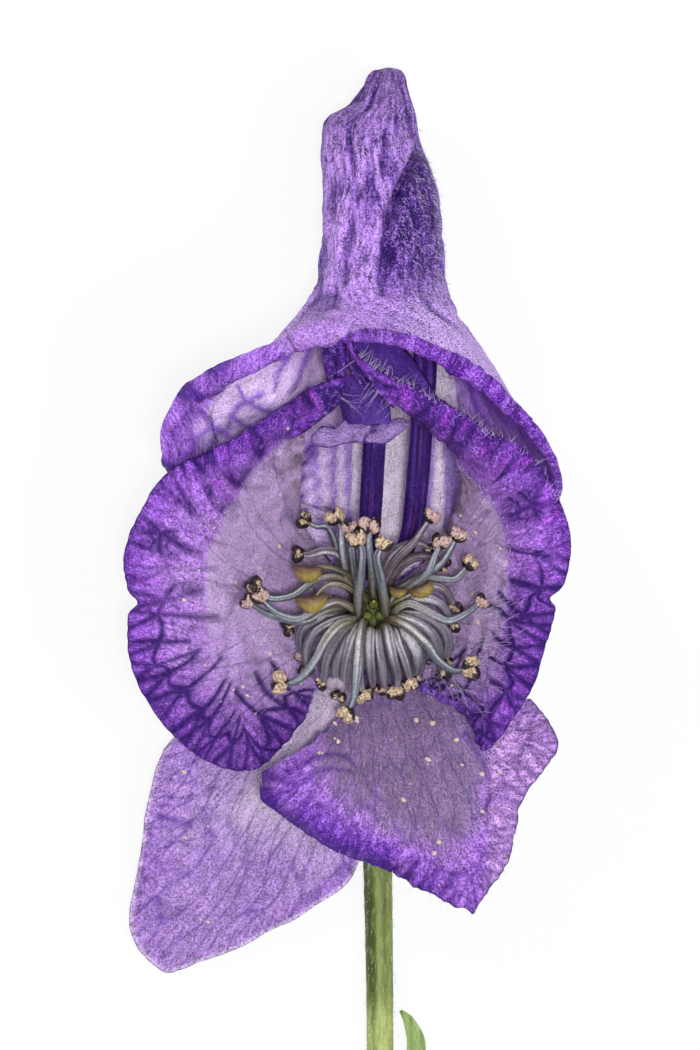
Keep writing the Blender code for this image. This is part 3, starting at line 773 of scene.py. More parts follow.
def pick(chance, seed, count):
    """The places in a grid that a draw with these chances picks, at most count of them."""
    rows, columns = chance.shape
    cells = pair(*np.meshgrid(np.arange(rows), np.arange(columns), indexing="ij"))
    score = chance / np.maximum(scatter(cells, seed), 1e-4)
    order = np.argsort(-score.ravel())[:count]
    return np.unravel_index(order, chance.shape)


def spots(chance, count, seeds, least, more, power=1):
    """Places picked in a grid, and a size for each of them from least up."""
    at = pick(chance, seeds[0], count)
    return at, least + more * scatter(pair(*at), seeds[1]) ** power


def lateral_sepal(name, side, notch, sharp_until, seed):
    """One of the two cupped side sepals with its broad wrinkled rim."""
    grid, rows, shares = sepal_grid(name, (30, 30, 34, 34, 34), 321)
    x, y = grid[..., 0], grid[..., 1]
    flat = rim_places(grid, SEPALS[name]["margin"])
    along, inward = flat[..., 0], flat[..., 1]
    bend = pair(noise(flat, 1.7, seed), noise(flat, 1.7, seed + 1))

    # The rim is sharply set off from the cup down to sharp_until of the way round.
    soft = ramp(shares, sharp_until, sharp_until + 0.18)
    sharp_rim = ramp(rows, 2.9, 3.08)
    soft_rim = ramp(rows, 1.9, 4.3)
    rim = sharp_rim * (1 - soft) + soft_rim * soft
    lobe = ramp(shares, 0.48, 0.62)

    # Wrinkles and veins run in from the margin and join up into long cells.
    cells = cell_borders(flat + bend * 0.45, (1.05, 2.3), seed + 2)
    small = cell_borders(flat + bend * 0.3, (0.5, 1.1), seed + 4)
    fade_in = ramp(inward, 5.2, 2.6) * ramp(inward, -0.2, 0.5)
    vein = branching(flat + bend * 0.22, 1.25, seed + 2) * (0.45 + 0.55 * lobe)
    vein = np.maximum(vein, bell(small, 0.12) * 0.45 * ramp(inward, 4.6, 2.0))
    pleats = noise(flat + bend * 0.3, (0.42, 2.0), seed + 5)
    pleat = ramp(pleats, 0.1, -0.55) * (1 - 0.6 * lobe) * rim * ramp(inward, 4.4, 3.0)
    swell = ramp(cells, 0.0, 0.5) * fade_in

    # In the cup faint nerves fan out from the claw.
    reach = lengths_along(grid, 0)
    fan = pair(shares * 16 + noise(grid, 2.2, seed + 9) * 0.25, reach / 5)
    nerve = ramp(np.abs(noise(fan, (0.8, 1.0), seed + 6)), 0.16, 0.0) * (1 - rim)

    height = 0.06 * swell - 0.14 * vein - 0.06 * pleat - 0.02 * nerve
    height = height + fractal(flat, (0.7, 1.1), seed + 7, 3) * 0.07 * ramp(rows, 0.4, 2.5)
    height = height + fractal(flat, 2.6, seed + 8, 2) * 0.10 * ramp(rows, 0.6, 3.0)
    notch_y, notch_depth = notch
    dent = bell(y - notch_y, 0.33) * ramp(inward, 2.4, 0.0)
    wavy = noise(pair(along, along * 0), 0.6, seed + 11) * 0.035 * ramp(inward, 0.8, 0)
    face = grid + normals_of(grid) * height[..., None]
    face[..., 0] -= side * (dent * notch_depth + wavy)
    face[..., 2] -= dent * 0.35

    thickness = 0.15 + 0.12 * ramp(rows, 5, 1.5)
    upper = (1 - lobe) * rim
    # The vein mask also darkens the pleat valleys, as painted shade.
    lines = np.clip(vein + 0.55 * pleat + 0.4 * nerve, 0, 1)
    tint = fractal(flat, (1.6, 2.2), seed + 12, 2)
    glow = fractal(flat, (0.35, 0.9), seed + 13, 2)
    crumbs = fractal(grid, 0.5, seed + 14, 2)
    top = upper * ramp(y, 5.0, 9.5) * (0.85 + 0.15 * side)
    middle = 0.47 - 0.17 * side + 0.6 * ramp(tint, -0.3, 0.5)
    beside_claw = (1 - ramp(x * side, 1.0, 4.2)) * (1 - rim)
    masks = {
        "rim": rim,
        "deep": np.clip(top + ramp(inward, 0.6, 0.0) * 0.6 * rim, 0, 1),
        # Painted shade: the rim darkens towards the bottom. The right sepal's rim is darker all over.
        "low": rim * np.clip(ramp(y, -1.0, -7.5) + (0.3 if side > 0 else 0), 0, 1),
        "vivid": ramp(inward, 2.0, 0.2) * rim * (0.3 + 0.1 * side + 0.4 * ramp(tint, -0.4, 0.4)),
        "milky": rim * ramp(inward, 0.9 + 0.4 * side, 4.0) * middle,
        # Painted highlight: magenta patches stand for the sheen on the upper rim.
        "magenta": rim * ramp(glow, 0.25, 0.9) * ramp(inward, 4.5, 1.0) * (1 - 0.6 * lobe),
        "vein": lines,
        "edge": ramp(inward, 0.16, 0.03) * 0.8,
        "olive": drawn(grid, OLIVE_LINES, 0.6) * (1 - rim) * ramp(crumbs, -0.7, 0.5),
        "shade": np.clip(ramp(rows, 1.6, 0.3) + 0.6 * beside_claw, 0, 1),
        "rugged": (0.1 + 0.5 * rim * (1 - 0.55 * lobe)) * (1 - 0.75 * lines),
        "glitter": (0.12 + (0.38 - 0.12 * lobe) * rim) * (1 - 0.85 * lines),
        "netted": np.clip(rim * lobe * ramp(inward, 5.5, 3.0) * 0.6 + 0.1 * rim, 0, 1),
        **flow_masks(shares * along.max(), reach),
    }
    shape = Shape()
    add_petal(shape, face, thickness, **masks)
    return shape, face, normals_of(face), rows, shares, inward, rim


def lateral_material():
    layers = [
        ("shade", (176, 160, 168), 0.5),
        ("olive", (116, 98, 84), 0.75),
        ("rim", (188, 118, 246), 1.0),
        ("milky", (212, 166, 248), 0.85),
        ("vivid", (134, 44, 218), 0.75),
        ("deep", (90, 10, 164), 0.8),
        ("low", (96, 44, 146), 0.6),
        ("magenta", (200, 80, 250), 0.5),
        ("vein", (44, 6, 104), 0.95),
        ("edge", (48, 14, 100), 0.9),
        ("back", (140, 96, 206), 0.8),
    ]
    return petal_material("lateral_sepals", (228, 194, 250), layers, stroke=(0.2, 2.2))


def add_roll(shape, left, right, swell, streaks_and_shade, seed):
    """A narrow violet fold at the top of a side sepal."""
    grid, across, lengthwise = strip(left, right, 25, 91, swell)
    flat = pair(across * 0.8, lengthwise)
    stretch = (0.14, 2.5) if streaks_and_shade else (0.3, 1.1)
    lumps = fractal(flat, stretch, seed, 2)
    grid = grid + normals_of(grid) * (0.06 * lumps)[..., None]
    ends = np.minimum(across, 1 - across)
    add_petal(
        shape,
        grid,
        np.full(across.shape, 0.14),
        rim=1.0,
        # Painted shade: the deep and vein masks darken the whole fold, and more where it is streaked.
        # Painted highlight: magenta patches on its bumps.
        deep=np.clip(1.1 - 0.35 * lumps + streaks_and_shade, 0, 1),
        vein=np.clip(ramp(lumps, 0.1, -0.5) * 0.7 + 0.35 + 0.8 * streaks_and_shade, 0, 1),
        magenta=ramp(lumps, 0.2, 0.8) * 0.5,
        edge=ramp(ends, 0.10, 0.02) * 0.8,
        rugged=0.7,
        glitter=0.12,
        **flow_masks(across * 0.8, lengthwise),
    )
    return grid, across


def fringe(shape, grid, across, way, seed, count, longest):
    """Pale hairs on the right border of a fold, or on its left where count is negative."""
    border = across if count > 0 else 1 - across
    chance = ramp(border, 0.75, 0.95) * ramp(grid[..., 1], 12.6, 11.6)
    at, size = spots(chance, abs(count), (seed, seed + 1), 0.35, 0.65)
    add_hairs(shape, grid[at], normals_of(grid)[at], way, longest * size, 0.013, seed + 2)


def build_laterals():
    material = lateral_material()
    shape, face, normals, rows, shares, inward, rim = lateral_sepal(
        "lateral_sepal_left", -1, (-0.2, 0.45), 0.5, 11
    )
    edge_zone = ramp(rows, 2.2, 2.9) * ramp(rows, 3.3, 3.0) * ramp(shares, 0.75, 0.3)
    cup_zone = (1 - rim) * ramp(rows, 0.9, 1.4) * ramp(shares, 0.25, 0.6)
    at, size = spots(edge_zone + 0.45 * cup_zone, 130, (3, 5), 0.35, 0.6)
    towards = unit(np.array([1.3, -0.7, 9.0]) - face[at])
    add_hairs(shape, face[at], normals[at], towards, size, 0.009, 21)
    at, size = spots(ramp(rows, 0.6, 1.3) * ramp(rows, 4.4, 2.6), 46, (8, 6), 0.05, 0.11, 2)
    add_flecks(shape, face[at], normals[at], size, 4)
    rolls = [add_roll(shape, *roll, 41 + number) for number, roll in enumerate(LEFT_ROLLS)]
    fringe(shape, *rolls[0], np.array([0.8, -0.6, 0.4]), 141, 7, 1.4)
    finish(shape, "lateral_sepal_left", material)

    shape, face, normals, rows, shares, inward, rim = lateral_sepal(
        "lateral_sepal_right", 1, (0.0, 0.5), 0.62, 37
    )
    cup_zone = (1 - rim) * ramp(rows, 1.2, 1.7) * ramp(face[..., 1], 2.5, 0.5)
    low_zone = ramp(rows, 2.3, 2.9) * ramp(rows, 4.3, 3.2) * ramp(face[..., 1], 2.0, -1.0)
    at, size = spots(cup_zone + low_zone, 190, (13, 15), 0.5, 0.9)
    towards = unit(np.array([3.0, -2.5, 9.5]) - face[at])
    add_hairs(shape, face[at], normals[at], towards, size, 0.010, 31)
    top_zone = ramp(inward, 0.5, 0.1) + ramp(rows, 3.25, 3.0)
    top_zone = ramp(shares, 0.55, 0.2) * top_zone * ramp(rows, 2.9, 3.0)
    at, size = spots(top_zone, 190, (14, 16), 0.35, 0.6)
    add_hairs(shape, face[at], normals[at], -normals[at] + [0.2, 0.9, 0], size, 0.018, 33)
    fleck_zone = ramp(rows, 0.8, 1.4) * ramp(rows, 3.6, 2.4) * ramp(face[..., 1], 5, 3)
    at, size = spots(fleck_zone, 60, (18, 17), 0.05, 0.13, 2)
    add_flecks(shape, face[at], normals[at], size, 5)
    rolls = [add_roll(shape, *roll, 45 + number) for number, roll in enumerate(RIGHT_ROLLS)]
    fringe(shape, *rolls[0], np.array([-0.6, -0.7, 0.3]), 145, -13, 1.2)
    fringe(shape, *rolls[0], np.array([0.5, 0.7, 0.6]), 149, 36, 0.7)
    finish(shape, "lateral_sepal_right", material)


def build_lower_left():
    name = "lower_sepal_left"
    grid, rows, shares = sepal_grid(name, (22, 24, 30, 26, 26), 261)
    y = grid[..., 1]
    rim_at = rim_places(grid, SEPALS[name]["margin"])
    inward = rim_at[..., 1]
    reach = lengths_along(grid, 0)
    fan = pair((shares - 0.5) * (2.5 + reach * 0.9), reach)
    bend = pair(noise(fan, 2.4, 51), noise(fan, 2.4, 52))
    raised = ramp(rows, 0.1, 0.9) * ramp(rows, 3.2, 1.4) * bell(shares - 0.58, 0.24)
    grid[..., 2] += 2.2 * raised
    cells = cell_borders(fan + bend * 0.35, (0.95, 6.5), 53)
    small = cell_borders(fan + bend * 0.4, (0.5, 1.6), 55)
    vein = bell(cells, 0.07) * ramp(reach, 1.5, 4.0) * ramp(inward, 0.1, 1.0)
    mesh_vein = bell(small, 0.08) * ramp(reach, 3.0, 6.0) * ramp(noise(fan, 1.6, 64), -0.2, 0.5)
    side_vein = mesh_vein * ramp(shares, 0.5, 0.15)
    lumps = fractal(fan, (0.6, 0.9), 57, 3)
    height = 0.05 * ramp(cells, 0, 0.4) - 0.06 * vein - 0.03 * mesh_vein + 0.06 * lumps
    height = height * ramp(rows, 0.3, 1.5)
    wavy = noise(pair(rim_at[..., 0], inward * 0), 0.8, 59)
    height = height + 0.12 * wavy * ramp(inward, 1.5, 0.0)
    normals = normals_of(grid)
    face = grid + normals * height[..., None]
    thickness = 0.14 + 0.12 * ramp(rows, 5, 1.5)
    patches = fractal(fan, (1.8, 3.5), 60, 2)
    light = ramp(y, -13.5, -8.5) * ramp(shares, 0.25, 0.45)
    rim_vein = branching(rim_at + bend * 0.2, 1.4, 65) * ramp(shares, 0.6, 0.3) * 0.6
    lines = np.clip(vein * 0.6 + side_vein * 0.35 + rim_vein * 0.6, 0, 1) * (1 - 0.5 * light)
    tip_rim = ramp(inward, 1.4, 0.3) * 0.7 * ramp(shares, 0.55, 0.9) * ramp(y, -11, -13.5)
    masks = {
        "vein": lines,
        "violet": np.clip(ramp(patches, -0.1, 0.8) * 0.5 + tip_rim, 0, 1),
        "left": ramp(shares, 0.55, 0.2) * ramp(inward, 4, 1) * 0.5,
        "low": ramp(y, -12, -16) * 0.6,
        "pale": np.clip(light + ramp(inward, 0.3, 0.1) * 0.5, 0, 1),
        "edge": ramp(inward, 0.07, 0.02) * 0.8,
        "rugged": (0.25 + 0.25 * ramp(inward, 1.5, 0.2) - 0.15 * light) * (1 - 0.7 * lines),
        "glitter": (0.33 - 0.1 * light) * (1 - 0.8 * lines),
        "netted": (0.3 + 0.3 * ramp(shares, 0.5, 0.15)) * (1 - 0.85 * light),
        **flow_masks((shares - 0.5) * 20, reach),
    }
    layers = [
        ("violet", (134, 76, 192), 0.8),
        ("left", (184, 128, 228), 0.8),
        ("low", (150, 100, 196), 0.8),
        ("pale", (250, 230, 255), 1.0),
        ("vein", (92, 44, 158), 0.85),
        ("edge", (84, 44, 150), 0.8),
        ("back", (150, 124, 204), 0.7),
    ]
    shape = Shape()
    add_petal(shape, face, thickness, **masks)
    at, size = spots(ramp(rows, 2.4, 3.0) * ramp(inward, 0.3, 0.8), 10, (61, 62), 0.05, 0.10)
    add_flecks(shape, face[at], normals[at], size, 63)
    base = (194, 164, 218)
    material = petal_material("lower_sepal_pale", base, layers, (0.7, 3.5), (0.22, 3.0))
    finish(shape, name, material)


def build_lower_right():
    name = "lower_sepal_right"
    grid, rows, shares = sepal_grid(name, (24, 26, 32, 30, 30), 281)
    x, y = grid[..., 0], grid[..., 1]
    flat = rim_places(grid, SEPALS[name]["margin"])
    along, inward = flat[..., 0], flat[..., 1]
    reach = lengths_along(grid, 0)
    fan = pair((shares - 0.5) * (2.5 + reach), reach)
    bend = pair(noise(fan, 1.9, 71), noise(fan, 1.9, 72))
    cells = cell_borders(fan + bend * 0.45, (0.8, 3.4), 73)
    small = cell_borders(flat + bend * 0.35, (0.42, 0.7), 75)
    nerve = bell(cells, 0.09) * ramp(reach, 0.8, 2.5)
    mesh_vein = bell(small, 0.14) * ramp(reach, 3.0, 6.0)
    mesh_vein = np.maximum(mesh_vein * 0.7, branching(flat + bend * 0.2, 0.9, 91))
    flutes = noise(pair(along + noise(flat, 1.5, 77) * 0.2, inward * 0.25), 0.34, 78)
    left_of_wing = ramp(x, 7.2, 5.6)
    flute = ramp(inward, 2.4, 0.2) * ramp(shares, 0.34, 0.5) * ramp(shares, 0.97, 0.8)
    flute = flute * left_of_wing
    lumps = fractal(flat, (0.45, 0.7), 79, 3)
    lip = ramp(rows, 3.0, 4.0)
    height = -0.04 * nerve * (1 - lip) - 0.16 * drawn(grid, LOWER_FOLDS, 0.25)
    height = height - 0.05 * mesh_vein + 0.10 * lumps * ramp(rows, 1.5, 3.5)
    height = height + 0.16 * flutes * flute + 0.10 * fractal(flat, 2.2, 80, 2) * ramp(rows, 1, 3)
    normals = normals_of(grid)
    face = grid + normals * height[..., None]
    ragged = noise(pair(along, along * 0), 0.7, 81) * 0.05 * ramp(inward, 0.7, 0) * left_of_wing
    tip = bell(x - 6.3, 0.28) * ramp(inward, 1.0, 0.0) * ramp(y, -12.5, -14.0)
    face[..., 1] += ragged - 0.45 * tip
    thickness = 0.14 + 0.12 * ramp(rows, 5, 1.5)
    patches = fractal(flat, (1.4, 1.4), 82, 2)
    wing = ramp(x, 6.6, 7.6)
    streaky = rows + 0.25 * noise(pair(along, inward * 0.3), 0.5, 92)
    # With the veins, the troughs of the flutes and the folds are darkened as painted shade.
    lines = mesh_vein * 0.75 * lip + ramp(flutes, 0.0, -0.6) * flute * 0.8
    folds = drawn(grid, LOWER_FOLDS, 0.17)
    lines = np.clip(nerve * 0.4 * (1 - lip) + lines + 0.6 * folds, 0, 1)
    rim_dark = ramp(inward, 0.16, 0.03) + 0.85 * ramp(inward, 1.1, 0.2) * ramp(x, 4.5, 2.5)
    rim_dark = np.clip(rim_dark, 0, 1)
    plain = (1 - 0.75 * lines) * (1 - 0.7 * rim_dark)
    vivid = ramp(streaky, 2.9, 4.1) * ramp(inward, 2.8, 0.6) * ramp(patches, -0.7, 0.3)
    rolled = np.clip(ramp(rows, 2.7, 3.5) + wing, 0, 1)
    masks = {
        "lip": ramp(streaky, 2.5, 3.7) * (1 - wing),
        "vivid": vivid * ramp(x, 6.0, 3.0),
        "wing": wing * ramp(rows, 2.6, 3.2),
        "vein": lines,
        # Painted shade: the hollow of the cup is greyed, most towards the claw and in patches over
        # the rest of the cup.
        "dust": ramp(reach, 3.5, 1.0) + 0.4 * ramp(rows, 2.8, 2.0) * ramp(patches, 0, 0.6),
        "edge": rim_dark * 0.85,
        "rugged": (0.25 + 0.6 * rolled) * plain,
        "glitter": (0.2 + 0.35 * rolled) * plain,
        "netted": 0.3 + 0.15 * lip,
        **flow_masks(shares * along.max(), reach),
    }
    layers = [
        ("dust", (150, 132, 158), 0.6),
        ("lip", (198, 134, 250), 0.95),
        ("vivid", (116, 32, 206), 0.85),
        ("wing", (232, 182, 252), 0.95),
        ("vein", (80, 28, 150), 0.9),
        ("edge", (46, 8, 108), 0.95),
        ("back", (140, 108, 204), 0.8),
    ]
    shape = Shape()
    add_petal(shape, face, thickness, **masks)
    normals = normals_of(face)
    at, size = spots(ramp(rows, 1.0, 1.6) * ramp(rows, 4.2, 2.8), 44, (84, 85), 0.05, 0.14, 2)
    add_flecks(shape, face[at], normals[at], size, 86)
    at, size = spots(ramp(inward, 0.25, 0.0), 36, (87, 88), 0.2, 0.35)
    add_hairs(shape, face[at], normals[at], [0, -1.0, 0], size, 0.014, 89)
    base = (158, 132, 176)
    material = petal_material("lower_sepal_front", base, layers, (0.6, 2.6), (0.22, 2.6))
    finish(shape, name, material)


# ---------------------------------------------------------------- hood

HOOD_STEPS = (8, 8, 8, 8, 12, 14, 16, 16, 18, 48)
HOOD_COLUMNS = 264
# The fold down the front of the hood, and what is drawn on its pale inner side.
HOOD_FOLD = [
    (3.7, 24.0), (3.45, 22.9), (2.7, 21.2), (2.0, 19.8), (1.65, 18.0), (1.35, 15.4), (1.2, 14.0),
]
BACK_STRIPES = [
    [(-1.95, 7.9), (-1.8, 6.0), (-1.45, 3.4)], [(-0.95, 8.6), (-0.9, 6.0), (-0.7, 2.4)],
    [(-0.2, 8.6), (-0.1, 5.5), (0.0, 2.5)], [(4.25, 8.8), (4.2, 6.0), (4.0, 3.4)],
    [(5.0, 8.6), (5.1, 6.0), (4.9, 3.4)], [(5.35, 8.4), (5.5, 6.0), (5.3, 3.4)],
]
SIDE_FOLDS = [
    [(5.2, 11.8), (5.25, 10.5), (5.3, 9.0)], [(5.75, 11.6), (5.8, 10.2), (6.2, 8.6)],
    [(6.4, 11.4), (6.6, 10.2), (7.2, 9.0)], [(7.0, 11.0), (7.6, 9.8), (8.9, 8.4), (9.6, 7.4)],
]
# A dark sliver down the left of the back, painted where the hood's side lies in shadow.
SHADOW_SLIVER = [[(-2.15, 7.6), (-2.4, 6.6), (-2.45, 5.2), (-2.2, 4.1)]]
POCKET_VEINS = [
    [(-4.6, 10.3), (-5.25, 10.05), (-5.6, 10.75)], [(-5.25, 10.05), (-4.15, 9.5), (-3.2, 9.6)],
    [(-4.15, 9.5), (-3.6, 8.9), (-3.3, 8.2)], [(-5.25, 10.05), (-5.9, 9.3), (-6.15, 8.3)],
    [(-5.9, 9.3), (-5.4, 8.9), (-4.8, 8.6)], [(-6.15, 8.3), (-6.8, 8.7), (-7.6, 8.3), (-8.35, 7.9)],
    [(-6.8, 8.7), (-7.3, 9.4), (-7.6, 9.7)], [(-7.6, 8.3), (-7.9, 7.6), (-8.5, 7.2)],
    [(-6.6, 8.7), (-6.9, 7.9), (-7.1, 7.3)], [(-2.2, 12.4), (-2.6, 11.4), (-3.0, 10.4)],
    [(-3.2, 12.2), (-3.7, 11.3), (-3.9, 10.4)],
]


def hood_ring(y, left, right, back, front, count):
    """A rounded section of the hood, from the middle of its back round by the right."""
    angles = np.radians(-90 + 360 * np.arange(count) / count)
    across, deep = np.cos(angles), np.sin(angles)
    across = np.sign(across) * np.abs(across) ** HOOD_SQUARENESS
    deep = np.sign(deep) * np.abs(deep) ** HOOD_SQUARENESS
    x = (left + right) / 2 + (right - left) / 2 * across
    z = (back + front) / 2 + (front - back) / 2 * deep
    return np.stack([x, np.full(count, y), z], axis=1)


def hood_grid():
    """The hood from its tip down to the margin of its mouth, which is turned back."""
    mouth = np.array(HOOD_MOUTH)
    rings = [hood_ring(*ring, len(mouth)) for ring in HOOD_RINGS]
    rows = places(HOOD_STEPS)
    columns = np.arange(HOOD_COLUMNS) * len(mouth) / HOOD_COLUMNS
    grid = smooth_surface([*rings, HOOD_BROW, mouth], rows, columns, closed=True)
    turn = np.arange(1, LIP_STEPS + 1)[:, None] / LIP_STEPS
    width = np.interp(columns, *np.transpose(HOOD_LIP))
    outward = unit(grid[-1, :, :2] - MOUTH_MIDDLE) * (turn * width)[..., None]
    upward = width * (0.5 * np.sin(2.6 * turn) - 0.25 * turn**2)
    lip = grid[-1] + np.concatenate([outward, upward[..., None]], axis=-1)
    grid = np.concatenate([grid, lip])
    rows = np.append(rows, 10 + 2 * turn)
    return grid, *(np.broadcast_to(part, grid.shape[:2]) for part in (rows[:, None], columns))


def build_hood():
    grid, rows, columns = hood_grid()
    x, y = grid[..., 0], grid[..., 1]
    normals = normals_of(grid, closed=True)
    facing = ramp(normals[..., 2], -0.1, 0.35)
    reach = lengths_along(grid, 0)
    flat = pair(columns * 0.85, reach)
    bend = pair(noise(grid, 2.1, 91), noise(grid, 2.1, 92))
    creased = flat + bend * [0.35, 0.8]

    # Outside: wrinkles run down from the tip, painted dark in their troughs as shade, and the fold
    # leaves a valley on its right that is painted dark as shade.
    ridges = fractal(creased, (0.55, 2.8), 93, 3)
    fine = np.abs(fractal(creased, (0.34, 2.0), 95, 2))
    cone = ramp(rows, 0.2, 2.0) * ramp(rows, 9.6, 8.0)
    thin = bell(fine, 0.13)
    wrinkle = 0.75 * ramp(ridges, 0.1, -0.6) + thin * (0.5 + 0.5 * ramp(ridges, 0.6, -0.1))
    wrinkle = np.clip(wrinkle, 0, 1) * cone
    fold_line = smooth_through(HOOD_FOLD, 60)
    beside = x - np.interp(y, fold_line[::-1, 1], fold_line[::-1, 0])
    span = ramp(y, 13.7, 17.0) * ramp(y, 24.2, 22.8) * facing
    high = ramp(y, 17.0, 19.5)
    ledge = bell(beside + 0.2, 0.24) * (0.3 + 0.7 * high)
    valley = bell(beside - 0.2, 0.28) * (0.5 + 0.5 * high)
    lumps = fractal(creased, (1.3, 3.2), 97, 2)
    height = (0.17 * np.clip(ridges, -0.9, 0.9) - 0.08 * thin + 0.12 * lumps) * cone
    height = height + span * (0.26 * ledge - 0.55 * valley) + 0.04 * fractal(grid, 0.5, 99, 2)
    face = grid + normals * height[..., None]
    face[..., 2] = np.maximum(face[..., 2], 0.0)
    # Painted shade: the valley right of the fold is painted dark, and the right flank darker than the
    # left.
    dark = span * ramp(beside, -0.04, 0.08) * ramp(beside, 0.9 + 0.9 * high, 0.25)
    flank = ramp(beside, 0.1, 0.9) * facing
    brow = ramp(rows, 7.2, 8.8)

    # Inside: a pale back with violet stripes, a veined pocket on the left, and a dim right side and
    # deep part, painted as shade. The pale inside colours are partly the hood's own and partly
    # painted light shining through it.
    deep = ramp(rows, 8.3, 8.8)
    left = ramp(columns, 13.2, 14.0) * ramp(columns, 19.4, 18.4)
    right = ramp(columns, 2.6, 3.6) * ramp(columns, 12.0, 10.5)
    stripes = ramp(drawn(grid, BACK_STRIPES, 0.26), 0.2, 0.75) * deep
    # Painted shadow: the dark sliver on the back.
    sliver = drawn(grid, SHADOW_SLIVER, 0.3) * deep
    pocket = drawn(grid, POCKET_VEINS, 0.17) * left
    folds = drawn(grid, SIDE_FOLDS, 0.3) * right
    inner_flat = pair(x + bend[..., 0] * 0.3, y)
    crimps = np.abs(fractal(inner_flat, (0.55, 1.6), 103, 2))
    crimp = bell(crimps, 0.1)
    inner_lumps = fractal(inner_flat, (0.5, 0.5), 105, 3)
    inner_height = -0.10 * stripes - 0.09 * pocket - 0.2 * folds - 0.05 * crimp + 0.05 * inner_lumps
    lip = ramp(rows, 9.75, 10.05)
    uneven = 0.08 * noise(flat, 0.9, 109)
    border = ramp(rows + uneven, 9.68, 9.84) * ramp(columns, 13.8, 14.6) * ramp(columns, 18.6, 17.6)
    border = border * (1 - lip)
    # Pleats in the turned-back margin, painted dark in their troughs as shade.
    pleats = noise(pair(columns * 1.6 + bend[..., 0] * 0.2, rows * 0.8), (0.62, 1.6), 107)
    pleat = ramp(pleats, 0.15, -0.4) * np.maximum(lip, border)
    pleat = pleat * ramp(columns, 13.8, 14.4) * ramp(columns, 18.8, 18.2)
    inner_height = inner_height - 0.12 * pleat
    thickness = 0.16 + 0.12 * ramp(rows, 9.9, 8.0)
    inner = face - normals * (thickness - inner_height)[..., None]
    filled = ramp(normals[..., 2], 0.1, -0.2) * ramp(x, -7.6, -1.6) * ramp(x, -0.3, -1.1)
    inner[..., 2] += 3.6 * filled * ramp(y, 8.4, 9.8) * ramp(y, 15.5, 13.5) * ramp(rows, 9.8, 9.3)
    curled = (rows + uneven > 9.7) & (columns > 13.8)
    slant = columns + 0.28 * (rows - 12)
    flap = lip * ramp(slant, 12.3, 12.42) * ramp(columns, 14.15, 13.95)
    band = lip * ramp(columns, 13.95, 14.15)
    brim = lip * ramp(slant, 12.42, 12.3) * ramp(columns, 3.0, 5.0)

    darkness = np.maximum(wrinkle, dark)
    # Pale frost, partly painted light: thicker on ridge crests and on faces turned to the viewer,
    # thinner on the shaded right flank.
    frost = facing * (0.5 + 0.5 * ramp(ridges, -0.15, 0.5)) * (1 - 0.85 * flank)
    shaded = dark * (0.8 + 0.2 * high) + 0.9 * flank * ramp(y, 13.9, 18.0)
    outer_masks = {
        "frost": np.clip(frost + 0.8 * brow, 0, 1),
        "light_side": facing * brow * ramp(x, 1.5, 4.5),
        # The dark mask is painted shade in the valley and on the right flank, and it also darkens the
        # tip.
        "dark": np.clip(shaded + 0.55 * ramp(y, 21, 24), 0, 1),
        "wrinkle": wrinkle,
        "brim": ramp(rows, 9.8, 10.2),
        "rugged": (1.0 - 0.75 * brow) * (1 - 0.35 * darkness),
        "glitter": (0.5 + 0.5 * brow) * (1 - 0.35 * darkness),
        "netted": 0.3 * cone * (1 - brow),
        **flow_masks(columns * 0.85, reach),
    }
    inner_flow = np.where(curled, (reach, columns * 1.6), (columns * 1.1, reach))
    inner_flow = flow_masks(*inner_flow)
    inner_masks = {
        "rugged": 0.06 + 0.8 * np.clip(lip + border, 0, 1) * (1 - 0.7 * flap) * (1 - 0.6 * pleat),
        "glitter": (0.15 + 0.3 * lip) * (1 - 0.7 * pleat),
        "netted": left * (1 - lip) * (0.05 + 0.3 * ramp(x, -4.5, -6.5)),
        **inner_flow,
        "inside": 1.0,
        "pocket": left,
        "dim": np.clip(right + ramp(rows, 8.8, 7.5) * (1 - left), 0, 1),
        # stripe holds the violet veins of the back and pocket, and painted shade in the folds and
        # crimps of the right side.
        "stripe": np.clip(0.8 * stripes + pocket + right * crimp * 0.7 + 0.8 * folds, 0, 1),
        "sliver": sliver,
        "flap": flap,
        "band": np.clip(band + border * 0.8, 0, 1),
        "brim": brim,
        "pleat": pleat,
        "line": bell(rows - 10.02, 0.13) * ramp(columns, 4, 6) * ramp(columns, 18, 15),
    }
    shape = Shape()
    add_double(shape, face, inner, outer_masks, inner_masks)
    roots = ramp(y, 13.8, 14.6) * ramp(rows, 0.1, 0.6) * ramp(normals[..., 2], -0.35, 0.0)
    right_side = (0.15 + ramp(beside, -0.1, 0.3)) * roots
    at, size = spots(right_side, 620, (111, 112), 0.12, 0.22)
    add_hairs(shape, face[at], normals[at], [0.5, -0.8, 0.2], size, 0.016, 113, steps=4)
    layers = [
        ("frost", (208, 162, 250), 0.88),
        ("light_side", (214, 178, 248), 0.8),
        ("dark", (38, 6, 92), 0.9),
        ("wrinkle", (46, 10, 108), 0.9),
        # The palest inside colours also stand in for light shining through the thin hood.
        ("inside", (253, 238, 255), 1.0),
        ("pocket", (238, 207, 255), 1.0),
        ("dim", (160, 100, 212), 0.9),
        ("stripe", (126, 68, 204), 0.85),
        ("sliver", (74, 26, 140), 1.0),
        ("flap", (176, 124, 222), 0.95),
        ("band", (146, 76, 212), 0.9),
        ("brim", (104, 30, 172), 0.95),
        ("pleat", (64, 10, 136), 0.9),
        ("line", (110, 16, 168), 0.8),
    ]
    material = petal_material("hood", (100, 42, 176), layers, (0.55, 3.2), (0.2, 6.0))
    finish(shape, "hood", material)


